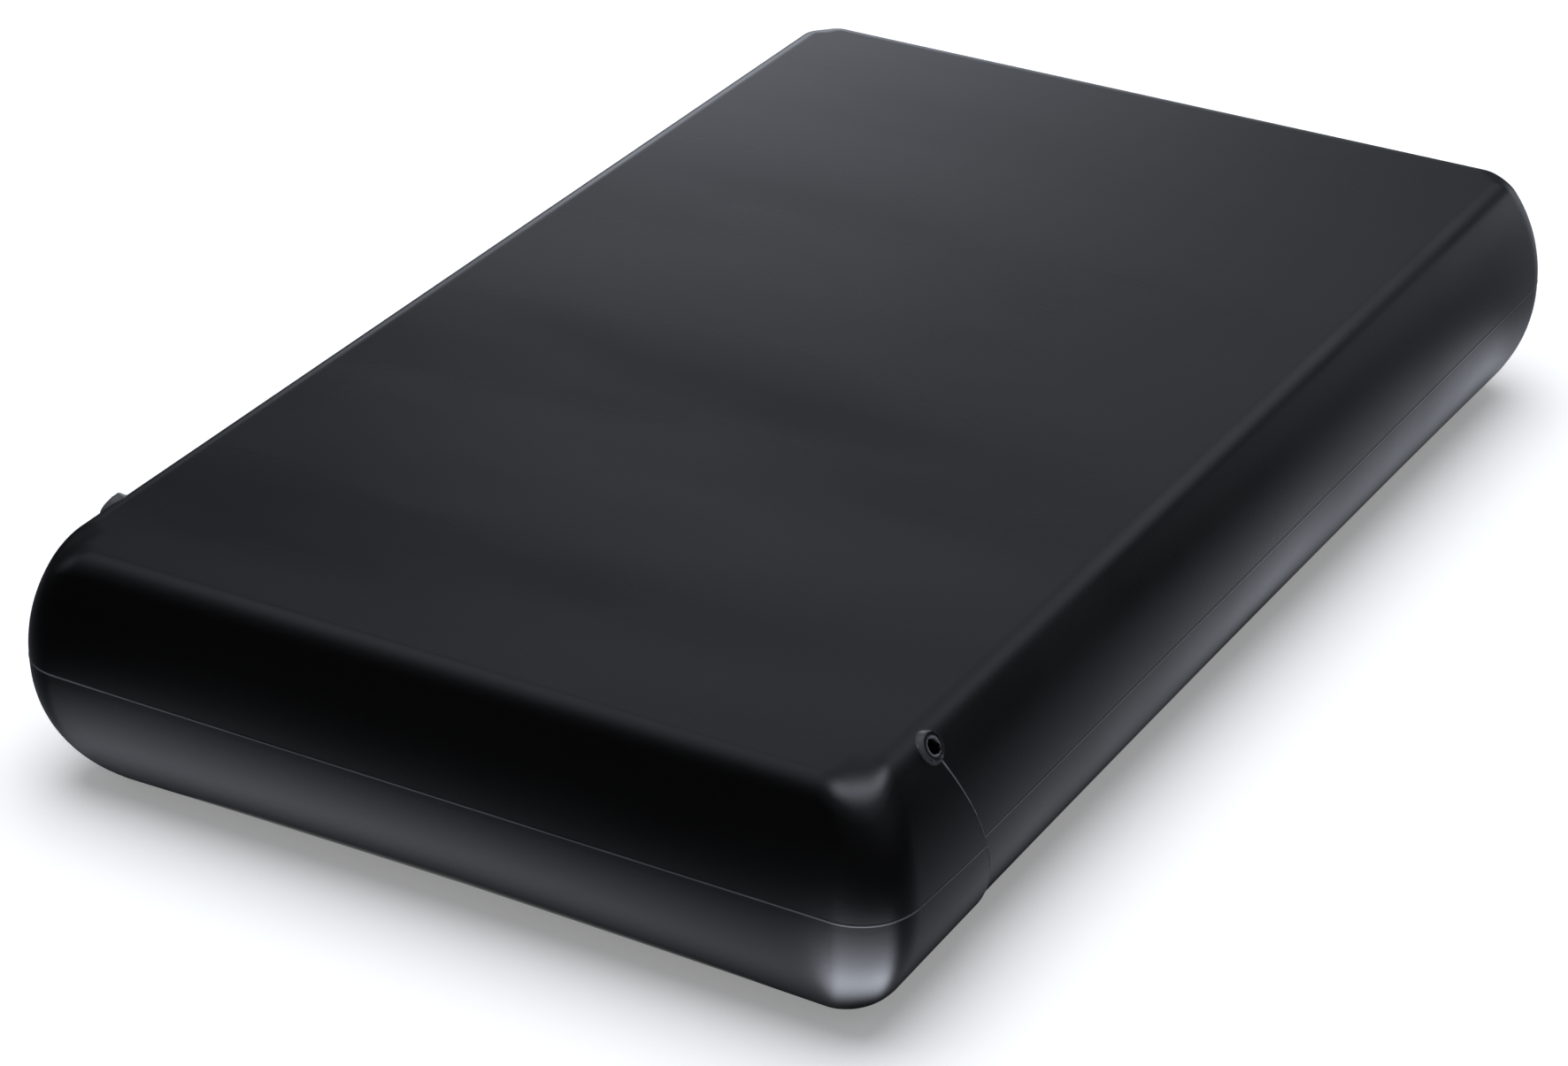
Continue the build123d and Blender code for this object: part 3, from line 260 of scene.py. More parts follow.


# Outer skin of the sleeve (way +1) or the flap (way -1): the side section carried round a rectangle with ball corners
# that is open at the slanted slit. Near the slit its columns start at the tear-stop's hole, and the collar, the lips
# and the parting line's ridge are lifted out of it. The second array is painted highlight: pale bell curves across
# the ridge, the lips and the collar's edges.
def outerSkin(way, endY, splay, farColumns, grade):
    near = skinGrid["stopReach"]
    nearSteps = np.linspace(0, 1, skinGrid["stopColumns"])[:-1] ** skinGrid["stopGrade"]
    farSteps = np.linspace(0, 1, farColumns)[:-1]
    farSteps = (np.exp(grade * farSteps) - 1) / (math.exp(grade) - 1)
    sides = np.zeros(len(nearSteps) + len(farSteps))
    corners = np.linspace(0, math.pi / 2, skinGrid["cornerColumns"])
    across = np.linspace(1, 0, skinGrid["endColumns"])[1:]
    turn = np.concatenate([sides, corners, math.pi / 2 + 0 * across])
    ends = np.concatenate([sides + 1, 0 * corners + 1, across])
    hip, endLean, growth = rubber["hip"], rubber["topLean"], 0
    if way < 0:
        hip, endLean, growth = rubber["flapHip"], rubber["flapLean"], rubber["flapBall"]
    inset, height, corner, lean = sideSection(
        rubber["topRound"] + hip * np.sin(2 * turn) ** 2,
        rubber["topLean"] + (endLean - rubber["topLean"]) * np.sin(turn) ** 2,
        growth,
    )

    offset = height - rubber["partingHeight"]
    span = np.where(offset < 0, rubber["partingHeight"], rubber["height"] - rubber["partingHeight"])
    proud = splay * (1 - np.where(offset < 0, 1 - rubber["splayAtFloor"], 1.0) * (offset / span) ** 2)
    lowness = np.clip(-offset / rubber["partingHeight"], 0, 1) ** rubber["footPower"]
    bend = corner * (1 - rubber["footCorner"] * lowness)
    halfX = rubber["halfWidth"] + proud - inset
    bendY = endY - way * (inset + bend)

    level = height[:, :1]
    start = slitAt(level, way)
    overHole = (level - tearStop["height"]) / math.cos(stopLean)
    holeEdge = np.sqrt(np.clip(tearStop["hole"] ** 2 - overHole**2, 0, None))
    length = way * (bendY[:, :1] - start)
    fromSlit = np.concatenate([holeEdge + (near - holeEdge) * nearSteps, near + (length - near) * farSteps], axis=1)
    x = (halfX - bend) * ends + bend * np.cos(turn)
    y = bendY + way * bend * np.sin(turn)
    y[:, : len(sides)] = start + way * fromSlit
    z = height
    planX, planY = np.cos(turn) + 0 * x, way * np.sin(turn) + 0 * x
    normal = np.stack([planX * np.cos(lean), planY * np.cos(lean), np.sin(lean)], axis=-1)

    reach = rubber["footReach"]
    nearBend, farBend = rubber["nearEnd"] + inset + bend, rubber["farEnd"] - inset - bend
    toCorner = np.where(turn > 0, np.exp((ends - 1) * halfX / reach),
                        np.exp((nearBend - y) / reach) + np.exp((y - farBend) / reach))
    stand = rubber["foot"] * lowness * toCorner
    beside = way * (y - slitAt(z, 1))
    below = smoothStep((tearStop["height"] - tearStop["hole"] - z) / slit["lipStart"])
    lip = below * np.exp(-((beside - slit["lipPlace"]) / slit["lipWidth"]) ** 2)
    drop = flash["flapDrop"] * smoothStep(1 - beside / flash["dropReach"]) if way < 0 else 0
    line = np.exp(-((z - rubber["partingHeight"] + drop) / flash["width"]) ** 2)
    points = np.stack([x, y, z], axis=-1)
    points = points + normal * (flash["height"] * line + slit["lipHeight"] * lip)[..., None]
    points = points + np.stack([planX * stand, planY * stand, 0 * stand], axis=-1)

    fromStop = points - stopCentre
    out = fromStop @ stopAxis
    atStop = np.abs(out) < tearStop["depth"]
    distance = np.linalg.norm(fromStop - out[..., None] * stopAxis, axis=-1)
    weight = atStop * smoothStep((tearStop["collar"] + tearStop["flank"] / 2 - distance) / tearStop["flank"])
    points = points + (weight * (collarCrown(distance) - out))[..., None] * stopAxis
    points[..., 2] = np.clip(points[..., 2], 0, rubber["height"])

    # painted highlight: pale rings round the hole's rim and on the collar's edge, and pale bands along the parting
    # ridge and the lips
    fromRim = (distance - tearStop["hole"] - tearStop["rim"] / 2) / (tearStop["rim"] * tearStop["rimHighlight"])
    fromEdge = (distance - tearStop["collar"]) / (tearStop["flank"] * tearStop["edgeHighlight"])
    collarHighlight = atStop * np.maximum(np.exp(-(fromRim**2)), flash["collarHighlight"] * np.exp(-(fromEdge**2)))
    endHighlight, cornerHighlight, endFade = flash["endHighlight"]
    sideHighlight, slitHighlight, sideFade = flash["sideHighlight"]
    share = np.where(turn > 0, endHighlight + cornerHighlight * np.exp((ends - 1) * halfX / endFade),
                     sideHighlight + slitHighlight * np.exp(-beside / sideFade))
    highlightPaint = np.maximum(np.maximum(share * line, flash["lipHighlight"] * lip), collarHighlight)
    mirror = points[:, -2::-1] * [-1, 1, 1]
    return np.concatenate([points, mirror], axis=1), np.concatenate([highlightPaint, highlightPaint[:, -2::-1]], axis=1)


# Half section of the pocket at a list of fractions of its length: roof, upper round, wall, lower round, floor
def pocketLine(fraction, roofX, floorX):
    half = caseHigh[0] + rubber["pocketPlay"]
    floorZ = caseLow[2] - rubber["pocketPlay"]
    upper, lower = rubber["pocketTopRound"], rubber["pocketBottomRound"]
    turn = np.linspace(0, math.pi / 2, skinGrid["pocketRoundColumns"])
    x = np.concatenate([[roofX], half - upper + upper * np.sin(turn), half - lower + lower * np.cos(turn), [floorX]])
    z = np.concatenate([[pocketRoof], pocketRoof - upper + upper * np.cos(turn),
                        floorZ + lower - lower * np.sin(turn), [floorZ]])
    run = np.concatenate([[0], np.cumsum(np.hypot(np.diff(x), np.diff(z)))])
    run = run / run[-1]
    return np.interp(fraction, run, x), np.interp(fraction, run, z)


# Four-sided faces between neighbouring rows and columns of a grid
def gridFaces(rows, columns):
    index = np.arange(rows * columns).reshape(rows, columns)
    return np.stack([index[:-1, :-1], index[1:, :-1], index[1:, 1:], index[:-1, 1:]], axis=-1).reshape(-1, 4)


# A patch is its points and its faces: a grid of quads, or one face through all the points
def grid(points):
    return points.reshape(-1, 3), gridFaces(*points.shape[:2])


def polygon(points):
    return np.array(points), np.arange(len(points))[None]


def addObject(name, data):
    added = bpy.data.objects.new(name, data)
    bpy.context.scene.collection.objects.link(added)
    return added


# One mesh from patches of points and faces, merged where they meet, smooth but for edges sharper than the crease
def makePiece(name, patches, highlightPaint=None, weld=0.004, sliver=0.001, crease=40):
    points = np.concatenate([patch[0] for patch in patches])
    starts = np.cumsum([0] + [len(patch[0]) for patch in patches])
    faces = [face for patch, start in zip(patches, starts) for face in (patch[1] + start).tolist()]
    mesh = bpy.data.meshes.new(name)
    # the skin's painted highlight goes into a point attribute, 0 on the other patches
    mesh.from_pydata(points * mm, [], faces)
    tint = np.zeros(len(points))
    if highlightPaint is not None:
        tint[: highlightPaint.size] = highlightPaint.ravel()  # the skin is the first patch
    mesh.attributes.new("flash", "FLOAT", "POINT").data.foreach_set("value", tint)
    work = bmesh.new()
    work.from_mesh(mesh)
    bmesh.ops.remove_doubles(work, verts=work.verts, dist=weld * mm)
    bmesh.ops.dissolve_degenerate(work, edges=work.edges, dist=sliver * mm)
    bmesh.ops.recalc_face_normals(work, faces=work.faces)
    openEdges = sum(edge.is_boundary for edge in work.edges)
    work.to_mesh(mesh)
    work.free()
    mesh.polygons.foreach_set("use_smooth", np.ones(len(mesh.polygons), dtype=bool))
    mesh.set_sharp_from_angle(angle=math.radians(crease))
    print(name, "faces", len(mesh.polygons), "open edges", openEdges)
    return addObject(name, mesh)


# Closed shell: the outer skin, its top and floor, the slit's cut face ruled from the skin's border to the pocket's,
# the pocket, and the notch that the living hinge fills
def rubberShell(name, way, endY, pocketEnd, splay, farColumns, grade):
    skin, highlightPaint = outerSkin(way, endY, splay, farColumns, grade)
    top = skin[0]
    notch = int(np.searchsorted(way * (top[: len(top) // 2, 1] - hingeY), strip["reach"]))
    notchY = top[notch, 1]
    edgeX = top[0, 0]
    floorX = skin[-1, 0, 0]

    rim = skin[:, 0]
    run = np.concatenate([[0], np.cumsum(np.linalg.norm(np.diff(rim[:, [0, 2]], axis=0), axis=1))])
    innerX, innerZ = pocketLine(run / run[-1], edgeX, floorX)
    innerY = slitAt(innerZ, way)
    inner = np.stack([innerX, innerY, innerZ], axis=-1)
    loop = np.concatenate([inner, inner[::-1] * [-1, 1, 1]])
    outerLoop = np.concatenate([rim, rim[::-1] * [-1, 1, 1]])
    through = np.linspace(0, 1, skinGrid["cutRows"])[:, None, None]
    cut = outerLoop * (1 - through) + loop * through
    middle = loop + [0, notchY - innerY[0], 0]
    back = loop * [1, 0, 1] + [0, pocketEnd, 0]
    pocket = np.stack([loop, middle, back])

    roofEdge = np.array([[edgeX, notchY, pocketRoof], [-edgeX, notchY, pocketRoof]])
    patches = [
        grid(skin),
        polygon(top[notch: len(top) - notch]),
        polygon(skin[-1]),
        grid(cut),
        grid(pocket),
        polygon([middle[0], back[0], back[-1], middle[-1]]),
        polygon(back),
        polygon([top[notch], top[-1 - notch], roofEdge[1], roofEdge[0]]),
        polygon(list(top[: notch + 1]) + [roofEdge[0]] + list(cut[:0:-1, 0])),
        polygon(list(top[::-1][: notch + 1]) + [roofEdge[1]] + list(cut[:0:-1, -1])),
    ]
    return makePiece(name, patches, highlightPaint), notchY, edgeX


sleeveSkin, stripBack, stripEdge = rubberShell(
    "sleeveSkin", 1, rubber["farEnd"], caseHigh[1] + rubber["pocketPlay"], 0,
    skinGrid["sleeveColumns"], skinGrid["sleeveGrade"])
flapSkin, stripFront, flapEdge = rubberShell(
    "flapSkin", -1, rubber["nearEnd"], rubber["nearEnd"] + rubber["flapWall"], rubber["splay"],
    skinGrid["flapColumns"], skinGrid["flapGrade"])


# Living hinge: a bar of the roof's thickness across the top, sliced along y, its width easing from the sleeve's edge to
# the flap's
def hingeBar():
    y = np.linspace(stripBack, stripFront, strip["steps"])
    halfX = stripEdge + (flapEdge - stripEdge) * smoothStep((stripBack - y) / (stripBack - stripFront))
    x = np.stack([halfX, -halfX, -halfX, halfX, halfX], axis=1)
    z = np.array([rubber["height"], rubber["height"], pocketRoof, pocketRoof, rubber["height"]]) + 0 * x
    points = np.stack([x, y[:, None] + 0 * x, z], axis=-1)
    return makePiece("hingeStrip", [grid(points), polygon(points[0, :4]), polygon(points[-1, :4])])


hingeStrip = hingeBar()

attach(sleeveSkin, "housing")
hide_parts("rubber_sleeve")
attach(flapSkin, "flap")
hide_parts("end_flap")
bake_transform(hingeStrip)
print("rubber pieces built")


# sRGB hex to linear light
def linear(hexColour):
    channels = np.array([int(hexColour[place: place + 2], 16) for place in (1, 3, 5)]) / 255
    return (*np.where(channels <= 0.04045, channels / 12.92, ((channels + 0.055) / 1.055) ** 2.4), 1.0)


# Adds a node; settings name its sockets or its own values, and at gives sockets by their position where names repeat.
# A value that is another node's output is linked.
def addNode(tree, kind, at=None, **settings):
    node = tree.nodes.new(kind)
    values = []
    for key, value in settings.items():
        socket = node.inputs.get(key.replace("_", " "))
        if socket is None:
            setattr(node, key, value)
        else:
            values.append((socket, value))
    values += [(node.inputs[place], value) for place, value in (at or {}).items()]
    for socket, value in values:
        if isinstance(value, bpy.types.NodeSocket):
            tree.links.new(value, socket)
        else:
            socket.default_value = value
    return node


def newMaterial(name):
    material = bpy.data.materials.new(name)
    material.use_nodes = True
    tree = material.node_tree
    tree.nodes.clear()
    return material, tree


# Moulded silicone rubber: near black with a cool cast, a satin skin with fine grit from the blasted mould, cloudy where
# it was handled, and painted pale along the mould's flash, the slit's lips and the collar's edges as a painted
# highlight
silicone = {
    "colour": "#070708",
    # colour of the painted highlight on the flash ridge, the slit's lips and the collar's edges
    "paintedHighlightColour": "#6c6d74",
    "highlightPatch": 7.0,  # the painted highlight comes and goes over this length
    "highlightSpan": (0.35, 0.62),  # part of the noise that it comes and goes in
    "flashLeast": 0.5,
    "roughness": 0.28,
    "cloud": 0.075,  # the roughness moves by this much
    "cloudSpan": (0.3, 0.7),
    "cloudSize": (90.0, 26.0, 26.0),  # wiping marks lie across the drive
    "cloudTurn": 12.0,
    "gritSize": 0.35,
    "gritHeight": 0.006,
    "ior": 1.41,
}


def siliconeRubber():
    material, tree = newMaterial("mouldedSilicone")
    place = addNode(tree, "ShaderNodeTexCoord").outputs["Object"]
    line = addNode(tree, "ShaderNodeAttribute", attribute_name="flash").outputs["Fac"]
    wiped = addNode(tree, "ShaderNodeMapping", Vector=place, Rotation=(0, 0, math.radians(silicone["cloudTurn"])),
                    Scale=[1 / (side * mm) for side in silicone["cloudSize"]]).outputs[0]
    cloud = addNode(tree, "ShaderNodeTexNoise", Vector=wiped, Scale=1.0, Detail=4.0)
    grit = addNode(tree, "ShaderNodeTexNoise", Vector=place, Scale=1 / (silicone["gritSize"] * mm), Detail=2.0)
    patch = addNode(tree, "ShaderNodeTexNoise", Vector=place, Scale=1 / (silicone["highlightPatch"] * mm), Detail=3.0)
    highlightBreakup = addNode(tree, "ShaderNodeMapRange", Value=patch.outputs["Fac"], From_Min=silicone["highlightSpan"][0],
                   From_Max=silicone["highlightSpan"][1], To_Min=silicone["flashLeast"], To_Max=1.0)
    # painted highlight: the skin's pale attribute, broken up in patches by noise, mixes the pale colour into the near
    # black
    highlightShown = addNode(tree, "ShaderNodeMath", {0: line, 1: highlightBreakup.outputs[0]}, operation="MULTIPLY")
    colour = addNode(tree, "ShaderNodeMix", {6: linear(silicone["colour"]), 7: linear(silicone["paintedHighlightColour"])},
                     data_type="RGBA", Factor=highlightShown.outputs[0])
    rough = addNode(tree, "ShaderNodeMapRange", Value=cloud.outputs["Fac"], From_Min=silicone["cloudSpan"][0],
                    From_Max=silicone["cloudSpan"][1], To_Min=silicone["roughness"] - silicone["cloud"],
                    To_Max=silicone["roughness"] + silicone["cloud"])
    bump = addNode(tree, "ShaderNodeBump", Height=grit.outputs["Fac"], Distance=silicone["gritHeight"] * mm,
                   Strength=1.0)
    shader = addNode(tree, "ShaderNodeBsdfPrincipled", Base_Color=colour.outputs[2], Roughness=rough.outputs[0],
                     IOR=silicone["ior"], Normal=bump.outputs[0])
    addNode(tree, "ShaderNodeOutputMaterial", Surface=shader.outputs[0])
    return material


rubberMaterial = siliconeRubber()
for piece in (sleeveSkin, flapSkin, hingeStrip):
    piece.data.materials.append(rubberMaterial)

# Finishes of the solids inside, by material slot. Each gives the material's name, its two tones, how metallic and how
# rough it is, the pattern that its making leaves with its size in mm along x, y and z, and the pattern's height in mm.
spindleCentre = nodeCentre("spindle_hub")
pivotCentre = nodeCentre("pivot_post")
finishes = {
    # moulded ABS: charcoal, fine spark-eroded grain, no clear reflections
    "case_plastic": {"name": "mouldedAbs", "tones": ("#1d1e21", "#26282c"), "rough": (0.46, 0.58),
                     "pattern": "grain", "size": (0.45, 0.45, 0.45), "height": 0.012},
    # foamed rubber: dull dark grey with open pores
    "damper_rubber": {"name": "foamedRubber", "tones": ("#222226", "#37373d"), "rough": (0.78, 0.92),
                      "pattern": "grain", "size": (0.7, 0.7, 0.7), "height": 0.06},
    # zinc-plated steel: bright, slightly blue, fine turning marks drawn wider than real ones
    "screw_steel": {"name": "zincPlatedSteel", "tones": ("#b4b9c0", "#9da3ab"), "metal": 1.0, "rough": (0.24, 0.38),
                    "pattern": "grain", "size": (0.2, 0.2, 0.05), "height": 0.003},
    # solder mask over copper: glossy green, paler where the traces run under it
    "board_green": {"name": "solderMask", "tones": ("#0d4527", "#1c6b3f"), "rough": (0.28, 0.36),
                    "pattern": "bricks", "size": (2.4, 2.4, 2.4), "height": 0.02},
    # moulded epoxy with silica in it: flat black, fine grit drawn coarser than it is
    "chip_resin": {"name": "mouldedEpoxy", "tones": ("#141517", "#1f2023"), "rough": (0.5, 0.66),
                   "pattern": "grain", "size": (0.25, 0.25, 0.25), "height": 0.006},
    # drawn nickel silver: warm pale metal with drawing lines along its length
    "crystal_can": {"name": "drawnNickelSilver", "tones": ("#c8c3b6", "#b2ad9f"), "metal": 1.0, "rough": (0.2, 0.34),
                    "pattern": "grain", "size": (0.12, 1.8, 0.12), "height": 0.003},
    # fired ceramic: matt tan, slightly mottled
    "capacitor_ceramic": {"name": "firedCeramic", "tones": ("#9c7850", "#b89065"), "rough": (0.38, 0.5),
                          "pattern": "grain", "size": (0.3, 0.3, 0.3), "height": 0.004},
    # glass-filled nylon: black with faint pale fibres lying along it
    "connector_plastic": {"name": "glassFilledNylon", "tones": ("#0f1012", "#222327"), "rough": (0.42, 0.56),
                          "pattern": "grain", "size": (0.7, 0.12, 0.12), "height": 0.005},
    # die-cast aluminium, tumbled: soft grey with a cast orange peel
    "cast_base": {"name": "castAluminium", "tones": ("#a2a5a9", "#85888d"), "metal": 1.0, "rough": (0.4, 0.55),
                  "pattern": "grain", "size": (0.9, 0.9, 0.9), "height": 0.02},
    # pressed stainless sheet: bright, rolled lines along its length
    "cover_sheet": {"name": "pressedStainless", "tones": ("#c4c6c8", "#b0b2b5"), "metal": 1.0, "rough": (0.22, 0.34),
                    "pattern": "grain", "size": (0.15, 6.0, 0.15), "height": 0.002},
    # turned aluminium: tool rings round the spindle
    "turned_hub": {"name": "turnedAluminium", "tones": ("#c6c8cb", "#aeb1b6"), "metal": 1.0, "rough": (0.18, 0.3),
                   "pattern": "rings", "size": (0.18, 0.18, 0.18), "height": 0.002, "centre": spindleCentre},
    # ground bearing steel: dark bright metal, rings round the shaft
    "bearing_steel": {"name": "groundBearingSteel", "tones": ("#a6abb1", "#90959c"), "metal": 1.0,
                      "rough": (0.12, 0.22), "pattern": "rings", "size": (0.14, 0.14, 0.14), "height": 0.001,
                      "centre": pivotCentre},
    # stacked silicon steel sheets: edges of the sheets show as fine dark bands
    "stator_laminate": {"name": "siliconSteelSheets", "tones": ("#74767a", "#45474b"), "metal": 0.9,
                        "rough": (0.36, 0.5), "pattern": "bandsZ", "size": (0.35, 0.35, 0.35), "height": 0.012},
    # nickel plate on a sintered magnet: yellowish bright metal, slightly pebbled
    "magnet_nickel": {"name": "nickelPlate", "tones": ("#b9b6ab", "#a4a195"), "metal": 1.0, "rough": (0.16, 0.28),
                      "pattern": "grain", "size": (0.5, 0.5, 0.5), "height": 0.004},
    # polished glass disc with a sputtered film: a mirror with the faintest rings
    "platter_mirror": {"name": "sputteredMirror", "tones": ("#d4d6d8", "#cacccf"), "metal": 1.0, "rough": (0.03, 0.07),
                       "pattern": "rings", "size": (0.6, 0.6, 0.6), "height": 0.0002, "centre": spindleCentre},
    # milled aluminium: satin, cutter marks across the arm
    "arm_aluminium": {"name": "milledAluminium", "tones": ("#babdc1", "#a3a6ab"), "metal": 1.0, "rough": (0.26, 0.4),
                      "pattern": "grain", "size": (1.6, 0.14, 0.14), "height": 0.003},
    # enamelled copper wire: reddish lacquered metal, turns side by side drawn wider than real ones
    "coil_copper": {"name": "enamelledCopper", "tones": ("#b25c30", "#6e3318"), "metal": 0.9, "rough": (0.24, 0.36),
                    "pattern": "rings", "size": (0.2, 0.2, 0.2), "height": 0.02, "centre": pivotCentre},
    # rolled spring steel: thin bright strip, rolling lines along it
    "spring_steel": {"name": "rolledSpringSteel", "tones": ("#a4a8ad", "#8b8f95"), "metal": 1.0, "rough": (0.16, 0.26),
                     "pattern": "grain", "size": (0.1, 1.4, 0.1), "height": 0.001},
    # lapped ceramic: near black, smooth and glossy
    "slider_ceramic": {"name": "lappedCeramic", "tones": ("#26272b", "#36373c"), "rough": (0.18, 0.28),
                       "pattern": "grain", "size": (0.2, 0.2, 0.2), "height": 0.001},
    # nickel-plated soft steel: grey satin plate
    "yoke_steel": {"name": "nickelPlatedSteel", "tones": ("#aeafac", "#979894"), "metal": 1.0, "rough": (0.26, 0.4),
                   "pattern": "grain", "size": (0.6, 0.6, 0.6), "height": 0.004},
    # moulded acetal: ivory, waxy
    "ramp_plastic": {"name": "mouldedAcetal", "tones": ("#e6e1d2", "#d6d0bd"), "rough": (0.34, 0.46),
                     "pattern": "grain", "size": (0.6, 0.6, 0.6), "height": 0.004},
    # polyimide film with copper tracks in it: amber, striped along its run
    "ribbon_film": {"name": "polyimideFilm", "tones": ("#b9742c", "#8a4f1b"), "rough": (0.24, 0.34),
                    "pattern": "bandsZ", "size": (0.5, 0.5, 0.5), "height": 0.01},
    # meltblown felt: off-white, matted fibres
    "filter_felt": {"name": "meltblownFelt", "tones": ("#eae8e1", "#cfccc1"), "rough": (0.88, 0.98),
                    "pattern": "grain", "size": (0.9, 0.18, 0.3), "height": 0.05},
}

onePerUnit = math.pi / 10  # a wave of this scale repeats once per unit
patterns = {
    "grain": {"kind": "ShaderNodeTexNoise", "Scale": 1.0, "Detail": 3.0},
    "rings": {"kind": "ShaderNodeTexWave", "wave_type": "RINGS", "rings_direction": "Z", "Scale": onePerUnit,
              "Distortion": 0.4},
    "bandsZ": {"kind": "ShaderNodeTexWave", "wave_type": "BANDS", "bands_direction": "Z", "Scale": onePerUnit,
               "Distortion": 0.2},
    "bricks": {"kind": "ShaderNodeTexBrick", "Scale": 1.0, "Mortar_Size": 0.06, "Mortar_Smooth": 0.4, "offset": 0.37,
               "squash": 1.6},
}
handling = {"size": 7.0, "span": (0.4, 1.6)}  # its noise and the pattern add up to this span


# A solid's finish: its pattern mixes the two tones, moves the roughness between its limits and lifts the surface, and
# a broad noise on top of the roughness stands for handling and uneven plating
def solidFinish(recipe):
    material, tree = newMaterial(recipe["name"])
    place = addNode(tree, "ShaderNodeTexCoord").outputs["Object"]
    scale = [1 / (side * mm) for side in recipe["size"]]
    centreX, centreY = recipe.get("centre", (0, 0))
    shift = (-centreX * mm * scale[0], -centreY * mm * scale[1], 0)
    spot = addNode(tree, "ShaderNodeMapping", Vector=place, Location=shift, Scale=scale).outputs[0]
    pattern = addNode(tree, Vector=spot, **patterns[recipe["pattern"]]).outputs["Fac"]
    colour = addNode(tree, "ShaderNodeMix", {6: linear(recipe["tones"][0]), 7: linear(recipe["tones"][1])},
                     data_type="RGBA", Factor=pattern)
    handled = addNode(tree, "ShaderNodeTexNoise", Vector=place, Scale=1 / (handling["size"] * mm), Detail=2.0)
    both = addNode(tree, "ShaderNodeMath", {0: pattern, 1: handled.outputs["Fac"]}, operation="ADD")
    rough = addNode(tree, "ShaderNodeMapRange", Value=both.outputs[0], From_Min=handling["span"][0],
                    From_Max=handling["span"][1], To_Min=recipe["rough"][0], To_Max=recipe["rough"][1])
    bump = addNode(tree, "ShaderNodeBump", Height=pattern, Distance=recipe["height"] * mm, Strength=1.0)
    shader = addNode(tree, "ShaderNodeBsdfPrincipled", Base_Color=colour.outputs[2], Roughness=rough.outputs[0],
                     Metallic=recipe.get("metal", 0.0), Normal=bump.outputs[0])
    addNode(tree, "ShaderNodeOutputMaterial", Surface=shader.outputs[0])
    return material


finished = {slotName: solidFinish(recipe) for slotName, recipe in finishes.items()}
finished["sleeve_rubber"] = rubberMaterial
for subpart in frame["record"]["subparts"]:
    node = frame["nodes"][subpart["node"]]
    if not node.material_slots:
        node.data.materials.append(None)
    for materialSlot in node.material_slots:
        materialSlot.material = finished[subpart["material_slot"]]
print("finishes:", len(finished))

camera = {
    "place": (182.63, -321.81, 208.55),
    "turn": (61.083, 0.3166, 30.1746),
    "lens": 107.15,
    "sight": 10000.0,
}
cameraData = bpy.data.cameras.new("camera")
cameraData.lens = camera["lens"]
cameraData.clip_end = camera["sight"] * mm
cameraObject = addObject("camera", cameraData)
cameraObject.location = np.array(camera["place"]) * mm
cameraObject.rotation_euler = np.radians(camera["turn"])
bpy.context.scene.camera = cameraObject

# Tent of soft panels round the object, which only reflections see
tent = {
    "radius": 320.0,
    "tint": "#ecf2ff",
    "rim": -5.0,  # its skirt starts this far out from the sides, that is under them
    "rimPower": 12,  # power of the superellipse that the rim is
    "lift": 0.6,  # the skirt lies this far over the floor
    "columns": 289,
    "skirtRows": 41,
    "domeRows": 33,
    "underStart": 1.0,  # the floor's light starts to fade this far outside the sides
    "underFade": {"side": 2.5, "end": 3.4},  # and fades over this length under the overhang
    "cornerBlend": 8.0,  # width in which the sides' light gives way to the ends'
    "farEndShare": 0.4,  # the far end's floor is dimmer than the near end's
    "sideSlope": 0.75,  # the floor's light grows by this share from the middle to the far end
    "sideSlopeEnds": (-1.2, 0.4),  # in half lengths, where that stops
    "endSlope": 0.2,  # and from the middle to the left
    "endSlopeEnds": (-1.2, 1.2),
}
# Light that the floor throws up, at the long sides and at the ends: strength and how far out it fades, in mm
floorLight = {"side": [(0.12, 9.0), (0.32, 18.0), (0.24, 60.0)], "end": [(0.9, 13.0)]}
panels = {
    "back": {"azimuth": 124, "elevation": 11, "wide": 16, "tall": 9, "strength": 2.5},
    "backMid": {"azimuth": 108, "elevation": 28, "wide": 24, "tall": 12, "strength": 0.16},
    "overhead": {"azimuth": 0, "elevation": 62, "wide": 34, "tall": 12, "strength": 5.6},
    "zenith": {"azimuth": 0, "elevation": 90, "wide": 4000, "tall": 32, "strength": 0.55},
    "leftHigh": {"azimuth": 168, "elevation": 58, "wide": 60, "tall": 15, "strength": 0.8},
    "right": {"azimuth": 0, "elevation": 30, "wide": 28, "tall": 16, "strength": 0.5},
    "left": {"azimuth": 196, "elevation": 26, "wide": 24, "tall": 15, "strength": 0.5},
    "front": {"azimuth": 298, "elevation": 28, "wide": 28, "tall": 16, "strength": 0.14},
    "rightHigh": {"azimuth": 74, "elevation": 36, "wide": 26, "tall": 11, "strength": 1.1},
    "rightLow": {"azimuth": 68, "elevation": 4, "wide": 15, "tall": 9, "strength": 1.15},
}


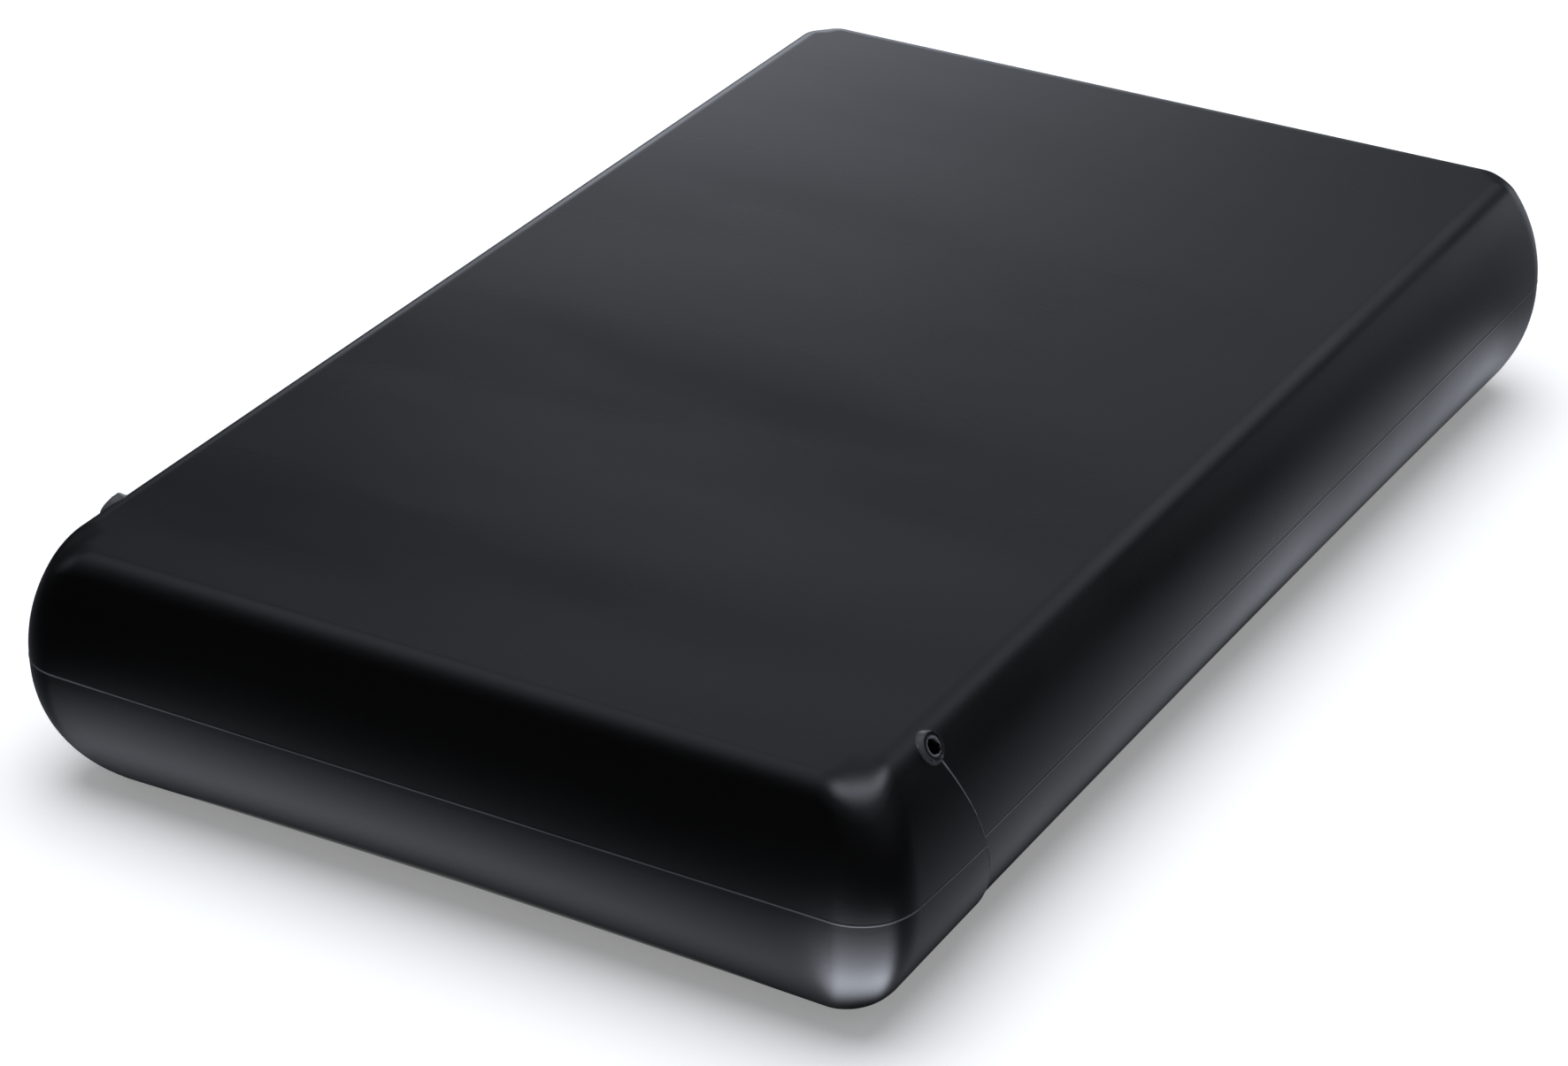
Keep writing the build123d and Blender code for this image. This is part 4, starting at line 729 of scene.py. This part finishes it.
# Light of the tent: the sum of the panels, each a bell curve in azimuth and elevation, and on its skirt the light off
# the floor, bell curves over the distance from the drive's outline, shared between its sides and its ends
def tentLight(points, skirt):
    away = points - [0, 0, rubber["height"] / 2]
    azimuth = np.degrees(np.arctan2(away[..., 1], away[..., 0]))
    elevation = np.degrees(np.arctan2(away[..., 2], np.hypot(away[..., 0], away[..., 1])))
    light = np.zeros(azimuth.shape)
    for panel in panels.values():
        sideways = (azimuth - panel["azimuth"] + 180) % 360 - 180
        light = light + panel["strength"] * np.exp(
            -((sideways / panel["wide"]) ** 2) - ((elevation - panel["elevation"]) / panel["tall"]) ** 2)
    ball = rubber["cornerBall"]
    overX = np.abs(points[..., 0]) - rubber["halfWidth"] + ball
    overY = np.abs(points[..., 1]) - rubber["farEnd"] + ball
    outside = np.hypot(np.clip(overX, 0, None), np.clip(overY, 0, None))
    distance = outside + np.clip(np.maximum(overX, overY), None, 0) - ball  # less than 0 under the overhang
    under = np.clip(distance - tent["underStart"], None, 0)
    endShare = smoothStep(0.5 + (overY - overX) / tent["cornerBlend"])
    bright = np.where(points[..., 1] < 0, 1, tent["farEndShare"])
    along = np.clip(points[..., 1] / rubber["farEnd"], *tent["sideSlopeEnds"])
    across = np.clip(points[..., 0] / rubber["halfWidth"], *tent["endSlopeEnds"])
    shares = {
        "side": (1 - endShare) * (1 + tent["sideSlope"] * along),
        "end": endShare * (1 - tent["endSlope"] * across) * bright,
    }
    for side, share in shares.items():
        share = skirt * share * np.exp(-((under / tent["underFade"][side]) ** 2))
        for strength, reach in floorLight[side]:
            light = light + share * strength * np.exp(-((np.clip(distance, 0, None) / reach) ** 2))
    return light


# Tent: a skirt just above the floor from a superellipse under the object's overhang out to a circle, then a dome
def lightTent():
    around = np.linspace(0, 2 * math.pi, tent["columns"])[:, None]
    skirt = np.linspace(0, 1, tent["skirtRows"]) ** 2
    rise = np.linspace(0, math.pi / 2, tent["domeRows"])[1:]
    cosine, sine = np.cos(around), np.sin(around)
    power = tent["rimPower"]
    stretch = (np.abs(cosine) ** power + np.abs(sine) ** power) ** (-1 / power)
    rimX = (rubber["halfWidth"] + tent["rim"]) * stretch * cosine
    rimY = (rubber["farEnd"] + tent["rim"]) * stretch * sine
    skirtX = rimX + (tent["radius"] * cosine - rimX) * skirt
    skirtY = rimY + (tent["radius"] * sine - rimY) * skirt
    domeX = tent["radius"] * cosine * np.cos(rise)
    domeY = tent["radius"] * sine * np.cos(rise)
    x = np.concatenate([skirtX, domeX], axis=1)
    y = np.concatenate([skirtY, domeY], axis=1)
    z = np.concatenate([tent["lift"] + 0 * skirtX, tent["radius"] * np.sin(rise) + 0 * domeX], axis=1)
    points = np.stack([x, y, z], axis=-1)
    onSkirt = np.concatenate([1 + 0 * skirt, 0 * rise])
    return glowCard("lightTent", points, tentLight(points, onSkirt))


cornerGlow = {
    "strength": 7.0,
    "place": (35.6, -60.0),
    "lift": 1.0,  # the fan lies this far over the floor
    "turn": -58.0,
    "half": 48.0,  # degrees to each side
    "overdraw": 1.3,  # it is drawn this many times wider, for its soft sides
    "sidePower": 8,
    "start": (3.0, 7.5),  # it rises between these distances
    "fade": 9.5,  # and fades over this length
    "reach": 36.0,
    "lastFade": 12.0,  # to nothing over its last stretch
    "columns": 53,
    "rows": 45,
}


# Fan of light on the floor at the near corner: it rises smoothly over a first stretch outward, fades exponentially and
# ends softly at both sides
def cornerCard():
    swing = np.linspace(-cornerGlow["overdraw"], cornerGlow["overdraw"], cornerGlow["columns"])[:, None]
    start, full = cornerGlow["start"]
    out = np.linspace(start, cornerGlow["reach"], cornerGlow["rows"])
    heading = np.radians(cornerGlow["turn"] + cornerGlow["half"] * swing)
    centreX, centreY = cornerGlow["place"]
    x = centreX + out * np.cos(heading)
    y = centreY + out * np.sin(heading)
    light = smoothStep((out - start) / (full - start)) * np.exp(-np.clip(out - full, 0, None) / cornerGlow["fade"])
    light = light * smoothStep((cornerGlow["reach"] - out) / cornerGlow["lastFade"])
    light = cornerGlow["strength"] * light * np.exp(-(swing ** cornerGlow["sidePower"]))
    return glowCard("cornerCard", np.stack([x, y, cornerGlow["lift"] + 0 * x], axis=-1), light, clear=True)


# A sheet that glows by its light attribute and that only reflections see; a clear one adds to what lies behind it
def glowCard(name, points, light, clear=False):
    mesh = bpy.data.meshes.new(name)
    mesh.from_pydata(points.reshape(-1, 3) * mm, [], gridFaces(*points.shape[:2]).tolist())
    mesh.attributes.new("light", "FLOAT", "POINT").data.foreach_set("value", light.ravel())
    card = addObject(name, mesh)
    card.visible_camera = False
    card.visible_diffuse = False
    card.visible_transmission = False
    card.visible_shadow = False
    material, tree = newMaterial(name + "Cloth")
    strength = addNode(tree, "ShaderNodeAttribute", attribute_name="light").outputs["Fac"]
    surface = addNode(tree, "ShaderNodeEmission", Color=linear(tent["tint"]), Strength=strength).outputs[0]
    if clear:
        behind = addNode(tree, "ShaderNodeBsdfTransparent").outputs[0]
        surface = addNode(tree, "ShaderNodeAddShader", {0: surface, 1: behind}).outputs[0]
    addNode(tree, "ShaderNodeOutputMaterial", Surface=surface)
    mesh.materials.append(material)
    return card


# 1 on rays from the camera, from a mirror and through glass, 0 on the rest
def seenRay(tree):
    path = addNode(tree, "ShaderNodeLightPath").outputs
    total = path["Is Camera Ray"]
    for kind in ("Is Glossy Ray", "Is Transmission Ray"):
        total = addNode(tree, "ShaderNodeMath", {0: total, 1: path[kind]}, operation="ADD", use_clamp=True).outputs[0]
    return total


# White paper: matt, a little cool, lifted to white where it is seen and darker in the object's shadow
paper = {"half": 1500.0, "colour": "#eff2f7", "lift": 0.25}
floorHalf = paper["half"] * mm
floorMesh = bpy.data.meshes.new("floor")
floorMesh.from_pydata([(-floorHalf, -floorHalf, 0), (floorHalf, -floorHalf, 0), (floorHalf, floorHalf, 0),
                       (-floorHalf, floorHalf, 0)], [], [(0, 1, 2, 3)])
floor = addObject("floor", floorMesh)
floorMaterial, floorTree = newMaterial("whitePaper")
white = addNode(floorTree, "ShaderNodeBsdfDiffuse", Color=linear(paper["colour"]))
lift = addNode(floorTree, "ShaderNodeMapRange", Value=seenRay(floorTree), To_Max=paper["lift"])
lifted = addNode(floorTree, "ShaderNodeEmission", Strength=lift.outputs[0])
whole = addNode(floorTree, "ShaderNodeAddShader", {0: white.outputs[0], 1: lifted.outputs[0]})
addNode(floorTree, "ShaderNodeOutputMaterial", Surface=whole.outputs[0])
floorMesh.materials.append(floorMaterial)
lightTent()
cornerCard()

# One large soft lamp overhead and a dim sky, for the light that isn't reflection
studio = {"lampSize": 900.0, "lampHeight": 900.0, "lampPower": 7.5, "sky": 0.27}
lampData = bpy.data.lights.new("softLamp", "AREA")
lampData.shape = "DISK"
lampData.size = studio["lampSize"] * mm
lampData.energy = studio["lampPower"]
lamp = addObject("softLamp", lampData)
lamp.location = (0, 0, studio["lampHeight"] * mm)
lamp.visible_glossy = False

world = bpy.data.worlds.new("studio")
bpy.context.scene.world = world
world.use_nodes = True
worldTree = world.node_tree
worldTree.nodes.clear()
level = addNode(worldTree, "ShaderNodeMapRange", Value=seenRay(worldTree), To_Min=studio["sky"], To_Max=1.0)
sky = addNode(worldTree, "ShaderNodeBackground", Strength=level.outputs[0])
addNode(worldTree, "ShaderNodeOutputWorld", Surface=sky.outputs[0])
bpy.context.scene.view_settings.view_transform = "Standard"
print("studio set")
